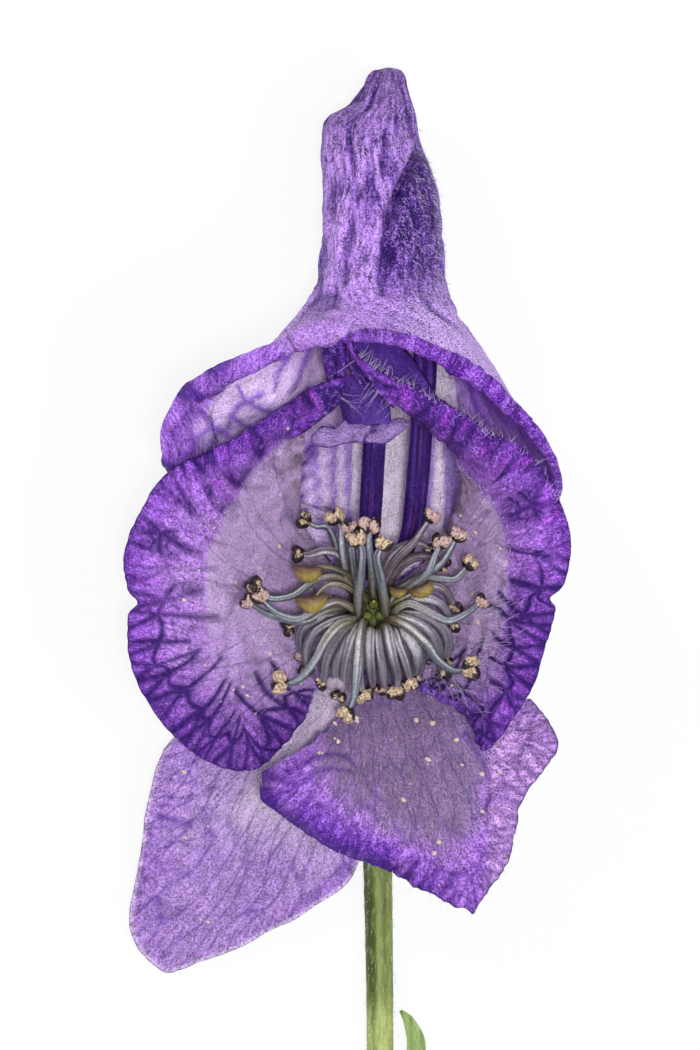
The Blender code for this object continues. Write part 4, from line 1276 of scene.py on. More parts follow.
def add_double(shape, outer, inner, outer_masks, inner_masks):
    """The hood's two sides, closed at its tip and joined along the margin of its mouth."""
    rows, columns = outer.shape[:2]
    count = rows * columns
    index = np.arange(count).reshape(rows, columns)
    last = np.append(index[-1], index[-1, 0])
    faces = [
        grid_faces(rows, columns, True),
        grid_faces(rows, columns, True, count)[:, ::-1],
        np.stack([last[1:], last[:-1], last[:-1] + count, last[1:] + count], axis=-1),
    ]
    tips = [outer[0].mean(axis=0) + [0, 0.05, 0], inner[0].mean(axis=0)]
    first = index[0]
    after = np.roll(first, -1)
    faces.append(np.stack([after, first, np.full(columns, 2 * count)], axis=-1))
    faces.append(np.stack([first + count, after + count, np.full(columns, 2 * count + 1)], axis=-1))
    masks = {}
    for key in {**outer_masks, **inner_masks}:
        outside = np.broadcast_to(outer_masks.get(key, 0.0), (rows, columns)).ravel()
        inside = np.broadcast_to(inner_masks.get(key, 0.0), (rows, columns)).ravel()
        masks[key] = np.concatenate([outside, inside, outside[:1], inside[:1]])
    shape.add(np.concatenate([outer.reshape(-1, 3), inner.reshape(-1, 3), tips]), faces, **masks)


# ---------------------------------------------------------------- nectaries

# Centre line of the claw and the bent head, as (x, y, z, width, depth).
LEFT_NECTARY = [
    (0.95, 0.95, 3.95, 0.5, 0.3), (1.0, 2.0, 4.4, 0.85, 0.36), (1.1, 4.0, 5.0, 1.1, 0.4),
    (1.25, 6.5, 5.7, 1.12, 0.42), (1.4, 9.0, 6.4, 1.15, 0.5), (1.4, 10.5, 7.2, 1.3, 0.8),
    (1.1, 11.1, 8.1, 1.6, 1.1), (0.9, 10.8, 8.9, 1.6, 1.0), (0.9, 9.8, 9.1, 1.5, 0.6),
    (0.9, 9.0, 9.2, 1.3, 0.3),
]
LEFT_LIP_LOW = [
    (-1.85, 7.95), (-1.6, 7.66), (-1.1, 7.53), (-0.6, 7.6), (0.1, 7.78), (0.9, 7.78), (1.7, 7.72),
    (2.1, 7.85), (2.6, 8.25), (3.1, 8.65),
]
LEFT_LIP_HIGH = [
    (-1.85, 8.1), (-1.5, 8.5), (-1.2, 8.63), (-0.6, 8.52), (-0.15, 8.93), (0.5, 8.8), (1.3, 8.7),
    (1.9, 8.78), (2.6, 9.05), (3.1, 8.8),
]
LIP_STREAK = [[(1.5, 9.0), (1.3, 8.5), (0.9, 8.1), (0.75, 7.7)]]
RIGHT_NECTARY = [
    (1.9, 0.85, 3.95, 0.5, 0.3), (2.6, 2.0, 4.4, 0.85, 0.36), (3.2, 3.4, 4.8, 1.05, 0.4),
    (3.5, 6.0, 5.5, 1.12, 0.42), (3.7, 9.0, 6.2, 1.12, 0.5), (3.85, 11.4, 7.2, 1.15, 0.8),
    (3.7, 12.8, 8.4, 1.2, 0.9), (2.9, 13.3, 9.4, 1.5, 1.0), (1.9, 12.6, 10.0, 1.8, 0.9),
    (1.7, 11.4, 10.2, 1.8, 0.8), (2.1, 10.5, 10.2, 1.4, 0.3),
]
# The swollen heads of the nectaries: left border, right border and how far they swell.
LEFT_HEAD = (
    [(-0.75, 11.2, 9.2), (-0.55, 10.2, 9.4), (-0.35, 9.4, 9.5), (-0.2, 8.7, 9.4)],
    [(1.3, 11.2, 9.2), (1.8, 10.2, 9.4), (2.1, 9.5, 9.5), (2.2, 8.7, 9.4)], 0.6,
)
RIGHT_HEAD = (
    [(-0.2, 13.0, 9.9), (0.2, 12.0, 10.3), (1.2, 11.0, 10.5), (2.4, 10.0, 10.4)],
    [(2.5, 13.0, 9.4), (3.25, 11.9, 9.8), (4.0, 10.9, 9.8), (4.75, 9.8, 9.4)], 1.1,
)


def nectary_tube(shape, sections, seed):
    """The grooved claw and the hooded head of a nectary."""
    smooth = smooth_through(sections, 190)
    line, widths, depths = smooth[:, :3], smooth[:, 3], smooth[:, 4]
    grid, angles = ribbon(line, np.array([1.0, 0.0, 0.0]), widths, depths, 44)
    middle = line[:, None]
    across = np.cos(angles)
    front = ramp(np.sin(angles), -0.1, 0.3)
    reach = lengths_along(grid, 0)
    wander = noise(pair(across * 1.5, reach), (0.4, 5.0), seed)
    grooves = np.cos((across + wander * 0.12) * math.pi * 3.4)
    groove = ramp(grooves, -0.2, -0.9)
    fine = noise(pair(across * widths[:, None] / 2, reach), (0.09, 4.0), seed + 1)
    depth = 1 - 0.22 * groove * front - 0.05 * fine
    grid = middle + (grid - middle) * depth[..., None]
    claw = ramp(np.arange(len(line)), 118, 96)[:, None] + 0 * across
    grit = noise(reach[..., None], 1.4, seed + 2)
    add_loft(
        shape,
        grid,
        **flow_masks(across * widths[:, None] / 2, reach),
        rugged=0.25 * (1 - claw),
        # Painted shade in the claw's grooves.
        groove=groove * claw,
        streak=ramp(fine, 0.0, 0.9) * front * (0.35 + 0.65 * claw),
        head=1 - claw,
        rust=bell(across - 0.05, 0.07) * claw * ramp(grit, -0.4, 0.2),
    )


def nectary_lip(shape, low, high, z, seed):
    """The broad lip that the left nectary holds out towards the viewer."""
    low, high = smooth_through(low, 161), smooth_through(high, 161)
    across = np.linspace(0, 1, 33)[:, None, None]
    grid = high[None] * (1 - across) + low[None] * across
    swell = 0.28 * np.sin(math.pi * across[..., 0]) ** 0.7
    depth = np.full((33, 161, 1), z)
    grid = np.concatenate([grid, depth], axis=-1)
    lumps = fractal(grid[..., :2], (0.5, 0.25), seed, 3)
    grid[..., 2] += swell + 0.04 * lumps + 0.25 * np.cos(np.linspace(-1, 1, 161) * 1.3)
    grid = grid[:, ::-1]
    lumps = lumps[:, ::-1]
    border = np.minimum(across[..., 0], 1 - across[..., 0]) * 1.1 + 0 * lumps
    veins = ramp(np.abs(fractal(grid[..., :2], (0.35, 0.6), seed + 3, 2)), 0.12, 0.0)
    streak = ramp(drawn(grid, LIP_STREAK, 0.2) + 0.4 * lumps, 0.4, 0.8)
    dark = ramp(border, 0.12, 0.02) + 0.5 * veins * ramp(lumps, -0.2, 0.5)
    masks = {
        "rugged": 0.3,
        "glitter": 0.25,
        **flow_masks(border, grid[..., 0]),
        "lip": 1.0,
        "lip_dark": np.clip(dark + streak, 0, 1),
    }
    add_petal(shape, grid, np.full(grid.shape[:2], 0.16), **masks)


def nectary_head(shape, left, right, swell, seed):
    grid, across, lengthwise = strip(left, right, 41, 81, swell)
    flat = pair(across * 2.5, lengthwise)
    lumps = fractal(flat, (0.5, 1.2), seed, 2)
    grid = grid + normals_of(grid) * (0.05 * lumps)[..., None]
    add_petal(
        shape,
        grid,
        np.full(across.shape, 0.3),
        head=1.0,
        # Painted shading: the head is lightened towards its right border and darkened along its left.
        streak=ramp(across, 0.3, 0.9) * 0.6 + 0.2 * ramp(lumps, 0, 0.8),
        groove=ramp(across, 0.35, 0.05) * 0.7 * ramp(lengthwise, 0.6, 1.8),
        rugged=0.12,
        glitter=0.1,
        **flow_masks(across * 2.5, lengthwise),
    )


def build_nectaries():
    layers = [
        ("head", (84, 50, 148), 0.9),
        ("groove", (28, 6, 72), 0.8),
        ("streak", (112, 72, 182), 0.6),
        ("rust", (110, 48, 52), 0.75),
        ("lip", (158, 128, 192), 1.0),
        ("lip_dark", (66, 36, 116), 0.85),
    ]
    material = petal_material("nectaries", (54, 18, 108), layers)
    shape = Shape()
    nectary_tube(shape, LEFT_NECTARY, 121)
    nectary_head(shape, *LEFT_HEAD, 125)
    nectary_lip(shape, LEFT_LIP_LOW, LEFT_LIP_HIGH, 9.3, 123)
    finish(shape, "nectary_left", material)
    shape = Shape()
    nectary_tube(shape, RIGHT_NECTARY, 131)
    nectary_head(shape, *RIGHT_HEAD, 135)
    finish(shape, "nectary_right", material)


# ---------------------------------------------------------------- stamens and carpels

WHORLS = ((0.65, 5.3), (1.0, 4.95), (1.3, 4.5))
# Each stamen as its whorl, azimuth of its foot, tone and width of its filament, kind and
# size of its anther, and the way of the filament from its bend to the middle of its anther.
STAMENS = [
    (0, 150, "blue", 0.50, "cream", 1.25,
     [(0.55, -0.9, 7.4), (0.55, 0.1, 9.3), (0.65, 1.3, 10.7), (0.7, 2.4, 11.4), (0.45, 3.0, 11.7)]),
    (0, 40, "blue", 0.50, "cream", 1.15,
     [(1.95, -0.9, 7.4), (1.8, 0.0, 9.3), (1.6, 1.2, 10.7), (1.45, 2.1, 11.4), (1.75, 2.75, 11.8)]),
    (0, 90, "blue", 0.44, "pink", 1.35,
     [(1.2, 0.5, 7.6), (1.2, 1.6, 9.2), (1.05, 2.7, 10.1), (1.1, 3.65, 10.5)]),
    (0, 120, "blue", 0.40, "pink", 1.05,
     [(0.45, 0.6, 7.4), (0.3, 1.6, 8.8), (0.2, 2.5, 9.6), (0.1, 3.5, 10.0)]),
    (1, 118, "blue", 0.40, "cream", 1.2,
     [(0.05, 0.5, 7.2), (-0.15, 1.6, 8.5), (-0.3, 2.7, 9.1), (-0.35, 3.5, 9.3),
      (-0.65, 4.05, 9.4)]),
    (2, 128, "blue", 0.34, "dark", 1.05,
     [(-0.2, 0.9, 6.6), (-0.5, 2.3, 7.6), (-1.0, 3.5, 8.1), (-1.6, 3.6, 8.2), (-2.2, 3.9, 8.4)]),
    (2, 140, "brown", 0.50, "dark", 1.0,
     [(0.0, 1.5, 7.0), (-0.5, 2.25, 7.7), (-1.2, 2.4, 7.9), (-1.9, 2.2, 7.7), (-2.5, 2.2, 7.6)]),
    (1, 146, "olive", 0.28, "olive", 1.3,
     [(0.2, 1.0, 8.0), (-0.5, 1.45, 9.0), (-1.2, 1.6, 9.3), (-2.0, 1.4, 9.3)]),
    (1, 164, "blue", 0.42, "dark", 1.1,
     [(0.1, 0.6, 7.6), (-0.7, 1.1, 8.5), (-1.7, 0.9, 8.9), (-2.7, 0.2, 9.1),
      (-3.7, 0.0, 9.2), (-4.3, 0.3, 9.3), (-4.7, 0.7, 9.3)]),
    (0, 172, "olive", 0.28, "olive", 1.35,
     [(0.4, 0.2, 8.6), (-0.4, 0.7, 9.6), (-1.1, 0.6, 9.9), (-1.8, -0.1, 10.0)]),
    (1, 184, "blue", 0.42, "pink", 1.1,
     [(0.2, -0.5, 8.0), (-0.6, -0.15, 8.9), (-1.5, -0.5, 9.1), (-2.5, -1.0, 9.1),
      (-3.4, -0.8, 9.1), (-4.0, -0.35, 9.2), (-4.4, 0.1, 9.3)]),
    (2, 176, "blue", 0.40, "pink", 1.0,
     [(-0.2, -0.5, 7.4), (-1.1, -0.65, 8.2), (-2.1, -1.15, 8.4), (-3.1, -1.05, 8.5),
      (-4.1, -0.75, 8.7), (-5.0, -0.15, 8.8)]),
    (2, 192, "mauve", 0.44, "dark", 1.0,
     [(-0.5, -0.9, 6.8), (-1.5, -1.0, 7.2), (-2.4, -1.3, 7.0), (-3.0, -1.5, 6.8)]),
    (2, 204, "mauve", 0.54, "pink", 0.9,
     [(-0.3, -0.9, 7.6), (-1.2, -0.9, 8.3), (-2.0, -1.25, 8.0), (-2.4, -1.85, 7.2),
      (-2.35, -2.5, 6.4), (-2.3, -2.9, 5.9)]),
    (1, 200, "mauve", 0.54, "dark", 0.95,
     [(0.0, -1.0, 8.2), (-0.8, -1.15, 8.8), (-1.6, -1.6, 8.4), (-2.0, -2.3, 7.6),
      (-2.1, -3.0, 6.7), (-2.1, -3.6, 6.0)]),
    (0, 205, "blue", 0.48, "cream", 1.3,
     [(0.2, -1.1, 8.6), (-0.5, -1.35, 9.4), (-1.15, -2.1, 9.5), (-1.6, -3.0, 9.2),
      (-2.2, -3.8, 9.0), (-2.8, -4.2, 9.0), (-3.4, -4.2, 9.2)]),
    (1, 218, "mauve", 0.56, "dark", 0.95,
     [(0.3, -1.2, 8.4), (-0.3, -1.6, 9.0), (-0.85, -2.4, 8.6), (-1.15, -3.2, 7.7),
      (-1.2, -3.9, 6.6), (-1.4, -4.3, 6.0)]),
    (2, 222, "mauve", 0.56, "lobe", 1.2,
     [(0.4, -1.5, 8.0), (0.0, -1.9, 8.6), (-0.4, -2.7, 8.3), (-0.6, -3.4, 7.5),
      (-0.6, -3.9, 6.8), (-0.6, -4.2, 6.6)]),
    (1, 240, "mauve", 0.56, "dark", 0.9,
     [(0.6, -1.4, 8.5), (0.25, -2.0, 9.0), (0.0, -2.8, 8.6), (-0.15, -3.6, 7.6),
      (-0.2, -4.3, 6.6), (-0.45, -4.9, 6.4)]),
    (0, 235, "blue", 0.46, "ring", 1.15,
     [(0.75, -1.2, 8.8), (0.6, -2.0, 9.8), (0.5, -3.1, 9.9), (0.4, -4.2, 9.5),
      (0.25, -5.1, 9.3), (-0.1, -5.75, 9.3)]),
    (2, 248, "mauve", 0.54, "cream", 1.0,
     [(0.85, -1.6, 8.0), (0.6, -2.4, 8.4), (0.55, -3.3, 7.9), (0.6, -4.1, 6.9), (0.8, -4.9, 6.6)]),
    (1, 262, "mauve", 0.56, "dark", 0.9,
     [(1.1, -1.6, 8.5), (1.05, -2.4, 8.9), (1.1, -3.3, 8.3), (1.2, -4.1, 7.0), (1.25, -4.5, 6.2)]),
    (2, 272, "mauve", 0.54, "pink", 0.9,
     [(1.5, -1.7, 8.3), (1.55, -2.5, 8.6), (1.7, -3.3, 7.9), (1.8, -4.1, 6.8), (1.9, -4.6, 6.1)]),
    (1, 284, "mauve", 0.56, "cream", 1.1,
     [(1.9, -1.5, 8.5), (2.05, -2.2, 9.0), (2.25, -3.1, 8.5), (2.45, -3.9, 7.4),
      (2.4, -4.75, 7.0)]),
    (2, 296, "mauve", 0.54, "cream", 1.05,
     [(2.3, -1.6, 8.1), (2.55, -2.3, 8.5), (2.85, -3.1, 8.0), (3.05, -3.8, 7.2), (3.1, -4.3, 7.0)]),
    (2, 306, "mauve", 0.95, "dark", 0.9,
     [(2.5, -1.5, 7.6), (3.1, -2.0, 8.0), (3.45, -2.7, 7.7), (3.5, -3.4, 6.8), (3.4, -3.9, 6.0)]),
    (0, 300, "blue", 0.48, "ring", 1.4,
     [(2.3, -1.1, 8.6), (3.1, -1.5, 9.4), (3.95, -2.3, 9.4), (4.5, -3.1, 9.2),
      (5.3, -3.6, 9.1), (6.15, -3.5, 9.3)]),
    (1, 318, "mauve", 0.54, "dark", 1.0,
     [(2.5, -0.95, 8.4), (3.4, -1.15, 8.9), (4.15, -1.7, 8.5), (4.55, -2.5, 7.6),
      (4.6, -3.2, 6.7), (4.8, -3.8, 6.4)]),
    (2, 326, "mauve", 0.54, "dark", 1.0,
     [(2.6, -0.8, 7.8), (3.7, -0.85, 8.3), (4.6, -1.35, 7.8), (5.0, -2.1, 7.0),
      (4.95, -2.8, 6.3), (4.9, -3.2, 6.0)]),
    (1, 338, "blue", 0.46, "pink", 0.95,
     [(2.4, -0.6, 8.4), (3.1, -0.25, 9.2), (4.1, -0.7, 9.2), (5.0, -1.1, 9.0),
      (5.9, -0.75, 9.1), (6.7, -0.15, 9.2)]),
    (2, 345, "mauve", 0.50, "dark", 1.0,
     [(2.7, -0.3, 7.6), (3.6, 0.0, 8.2), (4.5, -0.2, 7.8), (5.0, -0.8, 7.0), (5.2, -1.5, 6.4)]),
    (2, 4, "brown", 0.50, "dark", 1.1,
     [(2.8, 0.2, 7.2), (3.8, 0.6, 7.8), (4.7, 0.5, 7.4), (5.15, -0.1, 6.6), (5.3, -0.5, 6.2)]),
    (0, 10, "olive", 0.24, "olive", 0.8,
     [(2.1, -0.2, 8.4), (2.3, 0.1, 9.0), (2.5, 0.4, 9.3)]),
    (0, 350, "olive", 0.26, "olive", 1.1,
     [(2.2, -0.3, 8.2), (2.9, 0.1, 8.9), (3.7, 0.5, 9.2)]),
    (1, 10, "blue", 0.42, "pink", 1.15,
     [(2.3, -0.1, 7.6), (3.2, 0.6, 8.8), (4.0, 1.3, 9.5), (4.35, 2.1, 9.9), (4.65, 2.85, 10.1)]),
    (1, 30, "blue", 0.40, "pink", 1.1,
     [(2.5, 0.4, 7.4), (3.7, 1.1, 8.6), (4.6, 1.7, 9.1), (5.1, 2.4, 9.4), (5.5, 3.15, 9.6)]),
    (2, 22, "blue", 0.44, "ring", 1.05,
     [(2.6, 0.2, 7.0), (3.6, 1.0, 7.9), (4.6, 1.0, 8.4), (5.4, 1.0, 8.6), (6.1, 1.75, 8.9)]),
    (1, 62, "brown", 0.44, "pink", 1.05,
     [(1.8, 0.8, 7.4), (2.4, 1.9, 8.5), (3.2, 2.7, 8.9), (3.7, 3.4, 9.0), (4.15, 4.1, 9.1)]),
    (2, 66, "brown", 0.52, "dark", 1.0,
     [(1.8, 1.0, 7.0), (2.1, 2.0, 7.9), (2.8, 2.6, 8.2), (3.6, 2.75, 7.9), (4.1, 2.4, 7.1)]),
    (2, 44, "brown", 0.52, "dark", 1.0,
     [(2.1, 0.8, 7.0), (2.6, 1.6, 7.8), (3.3, 2.05, 8.0), (4.2, 2.1, 7.5), (4.8, 1.7, 6.6)]),
]
FILAMENT_TONES = {"mauve": 1.0, "blue": 0.0, "brown": 0.6, "olive": 0.0}


def filament_line(whorl, azimuth, way, count):
    """A filament's centre line: up from its foot, over its bend and on to its anther."""
    foot = on_circle(azimuth, *WHORLS[whorl])
    low = foot + (np.array(way[0]) - foot) * [0.15, 0.15, 0.4]
    return smooth_through([foot, low, *way], count)


def facing_sides(line):
    """For each place on a line a direction that lies across it as seen from above."""
    sides = unit(np.cross(np.gradient(line, axis=0), [0, 0, 1.0]))
    for step in range(len(line) - 2, -1, -1):
        if sides[step] @ sides[step + 1] < 0:
            sides[step] = -sides[step]
        sides[step] = unit(sides[step] * 0.25 + sides[step + 1] * 0.75)
    return sides


def add_filament(shape, line, tone, width, seed):
    """A ribbon of even width, rounded and grooved, that narrows just under its anther."""
    t = np.linspace(0, 1, len(line))
    widths = width * np.interp(t, (0, 0.15, 0.6, 0.8, 0.92, 1), (0.9, 1.0, 1.0, 0.85, 0.62, 0.5))
    depths = 0.34 * np.interp(t, (0, 0.5, 0.8, 1), (1, 1, 0.9, 0.6)) * min(1, width / 0.4)
    grid, angles = ribbon(line, facing_sides(line), widths, depths, 16)
    reach = lengths_along(grid, 0)
    lines = noise(pair(np.cos(angles) * 0.5, reach * 0.25), (0.11, 0.6), seed)
    bumps = noise(pair(reach, angles * 0), 0.55, seed + 1)
    middle = line[:, None]
    grid = middle + (grid - middle) * (1 + 0.12 * lines + 0.06 * bumps)[..., None]
    green = ramp(t, 0.5, 0.18)[:, None] + 0 * angles
    sides = np.abs(np.cos(angles)) ** 3
    bend = bell(grid[..., 2] - grid[..., 2].max(), 0.5)
    add_loft(
        shape,
        grid,
        green=1.0 if tone == "olive" else green * 0.8,
        blue=(ramp(t, 0.35, 0.75)[:, None] + 0 * angles) * (1.0 if tone == "blue" else 0.25),
        mauve=FILAMENT_TONES[tone] * (1 - green * 0.6),
        brown=0.55 * (tone == "brown"),
        gleam=np.clip(ramp(lines, -0.2, 0.6) * (1 - sides) * (0.25 + 0.75 * bend), 0, 1),
        # Painted shade: groove darkens the ribbon's sides and the troughs of its lines. Gleam is a
        # painted highlight near the top of its bend.
        groove=np.clip(ramp(lines, 0.0, -0.6) * 0.7 + sides * 0.85, 0, 1),
    )


# How much of a lobe its granular face takes, for each kind of anther.
OPENNESS = {"cream": -0.1, "pink": -0.12, "ring": -0.2, "dark": -0.5, "lobe": 0.0}


def add_lobe(shape, middle, along, across, size, kind, seed):
    """One half of an anther: a granular face inside a dark, crumpled edge."""
    around = math.tau * np.arange(26) / 26
    down = np.linspace(0.06, math.pi - 0.06, 18)
    direction = np.stack(
        [
            np.cos(down)[:, None] + 0 * around,
            np.sin(down)[:, None] * np.cos(around),
            np.sin(down)[:, None] * np.sin(around),
        ],
        axis=-1,
    )
    outward = np.cross(across, along)
    outward = outward if outward[2] > 0 else -outward
    lumps = noise(direction + seed * 3.3, 0.6, seed)
    grit = noise(direction + seed * 1.7, 0.2, seed + 1)
    axes = np.stack([along * 0.38, across * 0.32, outward * 0.33]) * size * 0.88
    reach = 1 + 0.12 * lumps
    points = (direction * reach[..., None]) @ axes
    wild = scatter(np.array([[seed, 1], [seed, 2]]), 7) - 0.5
    opening = unit(np.array([wild[0] * 1.8, wild[1] * 1.8, 1.0]))
    face = ramp(unit(points) @ opening + 0.35 * lumps + 0.3 * grit + OPENNESS[kind], 0.36, 0.46)
    points = points * (1 + (0.12 * grit + 0.05) * face)[..., None]
    if np.linalg.det(axes) > 0:
        points, face, grit = points[:, ::-1], face[:, ::-1], grit[:, ::-1]
    pink = 1.0 if kind == "pink" else 0.35
    add_loft(
        shape,
        middle + points,
        black=1.0,
        cream=face,
        pink=face * pink * 0.8,
        pit=ramp(grit, 0.1, -0.4) * face * 0.9,
        smooth=1.0 * (kind == "lobe"),
    )


def add_bean(shape, middle, size, tilt, seed):
    """An anther that hasn't opened: an olive bean with a flat, brown upper edge."""
    around = math.tau * np.arange(30) / 30
    down = np.linspace(0.05, math.pi - 0.05, 26)[:, None]
    long = np.cos(down) + 0 * around
    high, deep = np.sin(down) * np.cos(around), np.sin(down) * np.sin(around)
    top = ramp(high, -0.5, 0.0)
    high = np.where(high > 0, high * 0.35, high) - 0.28 * (1 - long**2) + 0.3
    lumps = noise(np.stack([long, high, deep], axis=-1), 0.5, seed)
    points = np.stack([long * 0.6, high * 0.48, deep * 0.3], axis=-1)
    points = points * (1 + 0.05 * lumps)[..., None] * size
    groove = bell(high - 0.12, 0.05) * ramp(deep, 0.2, 0.6)
    turn = math.radians(tilt)
    along = np.array([math.cos(turn), math.sin(turn), 0])
    across = np.array([-math.sin(turn), math.cos(turn), 0])
    points = points[..., :1] * along + points[..., 1:2] * across + points[..., 2:] * [0, 0, 1]
    brown = top * 0.9 + groove * 0.6 + 0.4 * ramp(lumps, -0.2, 0.8) + 0.3 * (long < -0.2)
    brown = np.clip(brown, 0, 1)
    add_loft(shape, middle + points[:, ::-1], yellow=1.0, dusk=brown[:, ::-1])


def add_anther(shape, line, side, kind, size, seed):
    along = unit(line[-1] - line[-3])
    middle = line[-1]
    if kind == "olive":
        tilt = 24 if middle[0] > 3 else 8 if middle[1] < 0 else -6
        add_bean(shape, middle, size, tilt, seed)
        return
    across = unit(side - along * (along @ side))
    for half in (-1, 1):
        place = middle + across * half * 0.15 * size
        add_lobe(shape, place, unit(along + across * half * 0.2), across, size, kind, seed * 2 + half)


def build_stamens():
    paint = Paint("stamens", (140, 132, 118), 0.34)
    paint.layers((
        ("mauve", (150, 138, 154), 0.9),
        ("blue", (92, 112, 128), 0.85),
        ("green", (122, 116, 62), 0.85),
        ("brown", (96, 70, 92), 1.0),
        # groove is painted shade on the filaments, and gleam a painted highlight.
        ("groove", (56, 48, 58), 0.85),
        ("gleam", (230, 226, 236), 0.7),
        ("black", (36, 22, 24), 1.0),
        ("cream", (224, 200, 158), 1.0),
        ("pink", (214, 178, 182), 1.0),
        ("pit", (104, 72, 62), 0.85),
        ("smooth", (176, 160, 180), 1.0),
        ("yellow", (160, 140, 66), 1.0),
        ("dusk", (88, 62, 48), 0.9),
    ))
    paint.brighten(paint.noise(0.3, 0.3, 0.7), 0.85, 1.15)
    paint.brighten(paint.noise(0.09, 0.35, 0.65, 2), 0.72, 1.25)
    grains = paint.grains(0.06)
    paint.brighten(grains, 0.85, 1.1)
    paint.bump(grains, 0.02, 0.7)
    material = paint.done()
    for number, (whorl, azimuth, tone, width, kind, size, way) in enumerate(STAMENS, 1):
        line = filament_line(whorl, azimuth, way, 56)
        side = facing_sides(line)[-1]
        shape = Shape()
        add_filament(shape, line, tone, width, number * 3)
        add_anther(shape, line, side, kind, size, number)
        finish(shape, f"stamen_{number:02d}", material)


CARPEL_AZIMUTHS = (90, 210, 330)
CARPEL_RING = 0.36
TO_THE_RIGHT = np.array([1.0, 0.0, 0.0])
CARPEL = [(0.1, 0.2), (0.5, 0.25), (1.0, 0.26), (1.5, 0.2), (1.9, 0.1), (2.4, 0.06)]


def green_material(name, base, pale, dark):
    paint = Paint(name, base, 0.5)
    paint.layers((("pale", pale, 0.8), ("groove", dark, 0.7)))
    paint.layer(dark, paint.maths("MULTIPLY", paint.noise(0.16, 0.5, 0.7, 3, (1, 6, 1)), 0.45))
    light = paint.maths("MULTIPLY", paint.noise(0.2, 0.52, 0.72, 3, (1, 5, 1)), 0.4)
    paint.layer((176, 190, 130), light)
    cells = paint.grains(0.09)
    paint.brighten(cells, 0.82, 1.12)
    paint.layer((232, 230, 218), paint.mask("hair"))
    paint.bump(cells, 0.02, 0.6)
    return paint.done()


def build_carpels():
    material = green_material("carpels", (156, 166, 76), (206, 206, 120), (90, 100, 42))
    for number, azimuth in enumerate(CARPEL_AZIMUTHS, 1):
        rings = ((on_circle(azimuth, CARPEL_RING, KNOB_TOP + z), radius) for z, radius in CARPEL)
        smooth = smooth_through([(*place, radius) for place, radius in rings], 40)
        lean = np.linspace(0, 1, 40) ** 2 * 0.18
        line = smooth[:, :3]
        angle = math.radians(azimuth)
        line = line + np.stack([lean * math.cos(angle), lean * math.sin(angle), 0 * lean], axis=-1)
        widths = smooth[:, 3] * 2.1
        grid, angles = ribbon(line, TO_THE_RIGHT, widths, widths, 20)
        groove = bell(angles - 1.5, 0.3)
        swell = 1 - 0.15 * groove + 0.06 * noise(grid, 0.2, number)
        grid = line[:, None] + (grid - line[:, None]) * swell[..., None]
        shape = Shape()
        add_loft(shape, grid, pale=ramp(np.arange(40), 18, 36)[:, None] + 0 * angles, groove=groove)
        finish(shape, f"carpel_{number}", material)


# ---------------------------------------------------------------- pedicel and bracteole

PEDICEL = [
    (1.3, -0.7, KNOB_TOP, 0.72), (1.3, -0.7, 5.0, 0.98), (1.3, -0.7, 4.75, 1.12),
    (1.3, -0.7, 4.3, 1.22), (1.3, -0.7, 3.7, 1.2), (1.3, -0.7, 3.2, 0.95), (1.3, -0.75, 2.75, 0.8),
    (1.3, -0.95, 2.25, 0.77), (1.3, -1.5, 1.75, 0.76), (1.3, -2.5, 1.45, 0.75),
    (1.35, -5.0, 1.2, 0.75), (1.4, -9.0, 0.95, 0.75), (1.5, -14.0, 0.78, 0.74),
    (1.6, -20.0, 0.7, 0.7), (1.65, -26.6, 0.69, 0.69),
]
BRACTEOLE = [
    (2.5, -25.2, 0.7, 0.3), (3.1, -24.2, 0.75, 0.8), (3.45, -22.6, 0.85, 0.95),
    (3.1, -21.4, 0.9, 0.6), (2.65, -20.8, 0.9, 0.16),
]


def build_stem():
    material = green_material("pedicel", (82, 100, 24), (192, 208, 126), (44, 60, 16))
    steps = (3, 3, 3, 3, 4, 4, 4, 6, 8, 16, 24, 30, 36, 36)
    smooth = smooth_at(PEDICEL, places(steps))
    line, radii = smooth[:, :3], smooth[:, 3]
    grid, angles = ribbon(line, TO_THE_RIGHT, radii * 2, radii * 2, 48)
    reach = lengths_along(grid, 0)
    ribs = noise(pair(angles * 0.75, reach), (0.35, 9.0), 141)
    low = ramp(line[:, 1], -2.0, -4.0)[:, None]
    shrink = 1 - 0.05 * low * (0.5 - 0.5 * ribs) - 0.02 * noise(grid, 0.4, 142)
    grid = line[:, None] + (grid - line[:, None]) * shrink[..., None]
    pale = 0.4 * ramp(ribs, 0.0, 0.8) + 0.95 * ramp(grid[..., 1], -19.5, -22.0)
    shape = Shape()
    add_loft(shape, grid, pale=np.clip(pale, 0, 1), groove=ramp(ribs, -0.1, -0.7))
    normals = unit(grid - line[:, None])
    chance = ramp(grid[..., 1], -6, -9) * (0.25 + np.abs(normals[..., 0]))
    at, size = spots(chance, 420, (144, 145), 0.12, 0.28)
    add_hairs(shape, grid[at], normals[at], [0, -1.0, 0], size, 0.014, 146, 4)
    finish(shape, "pedicel", material)

    smooth = smooth_through(BRACTEOLE, 60)
    widths = smooth[:, 3]
    grid, angles = ribbon(smooth[:, :3], TO_THE_RIGHT, widths, 0.14 + widths * 0.25, 28)
    hollow = np.exp(-(np.cos(angles) ** 2) / 0.2) * ramp(np.sin(angles), 0, 0.5)
    grid[..., 2] -= hollow * 0.1 * ramp(np.arange(60), 0, 12)[:, None]
    shape = Shape()
    edge = np.abs(np.cos(angles)) ** 8
    groove = ramp(noise(grid, (0.16, 2, 1), 151), 0.2, 0.9)
    add_loft(shape, grid, pale=np.clip(0.3 + edge, 0, 1), groove=groove)
    pale = green_material("bracteole", (122, 158, 76), (196, 212, 140), (78, 108, 50))
    finish(shape, "bracteole", pale)


# ---------------------------------------------------------------- stage


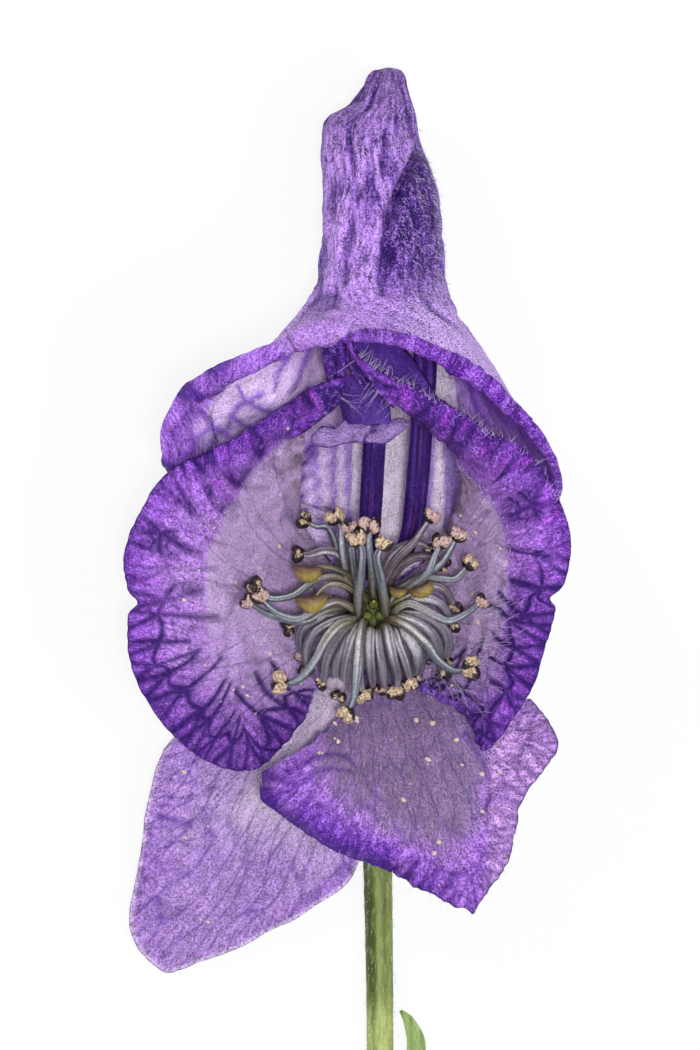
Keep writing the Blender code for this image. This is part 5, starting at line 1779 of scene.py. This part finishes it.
def build_stage(lowest):
    """A white floor that keeps a faint shadow, soft light and the camera above the flower."""
    scene = bpy.context.scene
    scene.view_settings.view_transform = "Standard"

    camera = bpy.data.objects.new("camera", bpy.data.cameras.new("camera"))
    place = (*VIEW_MIDDLE, CAMERA_HEIGHT + FOCUS_HEIGHT)
    camera.location = [value * MM for value in place]
    camera.data.sensor_width = 36
    camera.data.lens = 36 * CAMERA_HEIGHT / VIEW_HEIGHT
    camera.data.clip_start = 0.05
    scene.collection.objects.link(camera)
    scene.camera = camera

    world = bpy.data.worlds.new("studio")
    scene.world = world
    world.use_nodes = True
    nodes, links = world.node_tree.nodes, world.node_tree.links
    background = nodes["Background"]
    background.inputs["Color"].default_value = (1, 1, 1, 1)
    strength = nodes.new("ShaderNodeMapRange")
    strength.inputs["To Min"].default_value = WORLD_LIGHT
    links.new(seen_directly(nodes, links), strength.inputs["Value"])
    links.new(strength.outputs[0], background.inputs["Strength"])

    paper = bpy.data.materials.new("floor")
    paper.use_nodes = True
    nodes, links = paper.node_tree.nodes, paper.node_tree.links
    nodes.clear()
    diffuse = nodes.new("ShaderNodeBsdfDiffuse")
    diffuse.inputs["Color"].default_value = FLOOR_GREY
    white = nodes.new("ShaderNodeEmission")
    mix = nodes.new("ShaderNodeMixShader")
    share = nodes.new("ShaderNodeMath")
    share.operation = "MULTIPLY"
    share.inputs[1].default_value = FLOOR_GLOW
    links.new(seen_directly(nodes, links), share.inputs[0])
    links.new(share.outputs[0], mix.inputs["Fac"])
    links.new(diffuse.outputs[0], mix.inputs[1])
    links.new(white.outputs[0], mix.inputs[2])
    links.new(mix.outputs[0], nodes.new("ShaderNodeOutputMaterial").inputs["Surface"])
    bpy.ops.mesh.primitive_plane_add(size=FLOOR_SIZE, location=(0, 0, lowest))
    floor = bpy.context.active_object
    floor.name = "floor"
    floor.data.materials.append(paper)
    floor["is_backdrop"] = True

    for name, place, angle, strength in LAMPS:
        light = bpy.data.lights.new(name, "SUN")
        light.angle = math.radians(angle)
        light.energy = strength
        lamp = bpy.data.objects.new(name, light)
        lamp.location = place
        lamp.rotation_euler = Vector(place).to_track_quat("Z", "Y").to_euler()
        scene.collection.objects.link(lamp)


def seen_directly(nodes, links):
    """1 for rays of the camera, of reflections and through glass, and 0 for others."""
    path = nodes.new("ShaderNodeLightPath")
    total = path.outputs["Is Camera Ray"]
    for name in ("Is Glossy Ray", "Is Transmission Ray"):
        add = nodes.new("ShaderNodeMath")
        add.operation = "ADD"
        add.use_clamp = True
        links.new(total, add.inputs[0])
        links.new(path.outputs[name], add.inputs[1])
        total = add.outputs[0]
    return total


VIEW_MIDDLE = (0.1, 3.675)
VIEW_HEIGHT = 52.5
CAMERA_HEIGHT = 1000
FOCUS_HEIGHT = 9
WORLD_LIGHT = 0.32
FLOOR_GREY = (0.9, 0.9, 0.9, 1)
FLOOR_GLOW = 0.86  # how much plain white the camera sees in place of the floor's shading
FLOOR_SIZE = 6  # metres
# Each lamp as its name, where it shines from, how wide it looks in degrees and its strength.
LAMPS = (
    ("front", (0.03, -0.03, 0.6), 7, 1.8),
    ("key", (-0.3, 0.34, 0.42), 10, 0.5),
    ("fill", (0.26, -0.12, 0.5), 25, 0.75),
)

build_laterals()
build_lower_left()
build_lower_right()
build_hood()
build_nectaries()
build_stamens()
build_carpels()
build_stem()
build_stage(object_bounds()[0].z)
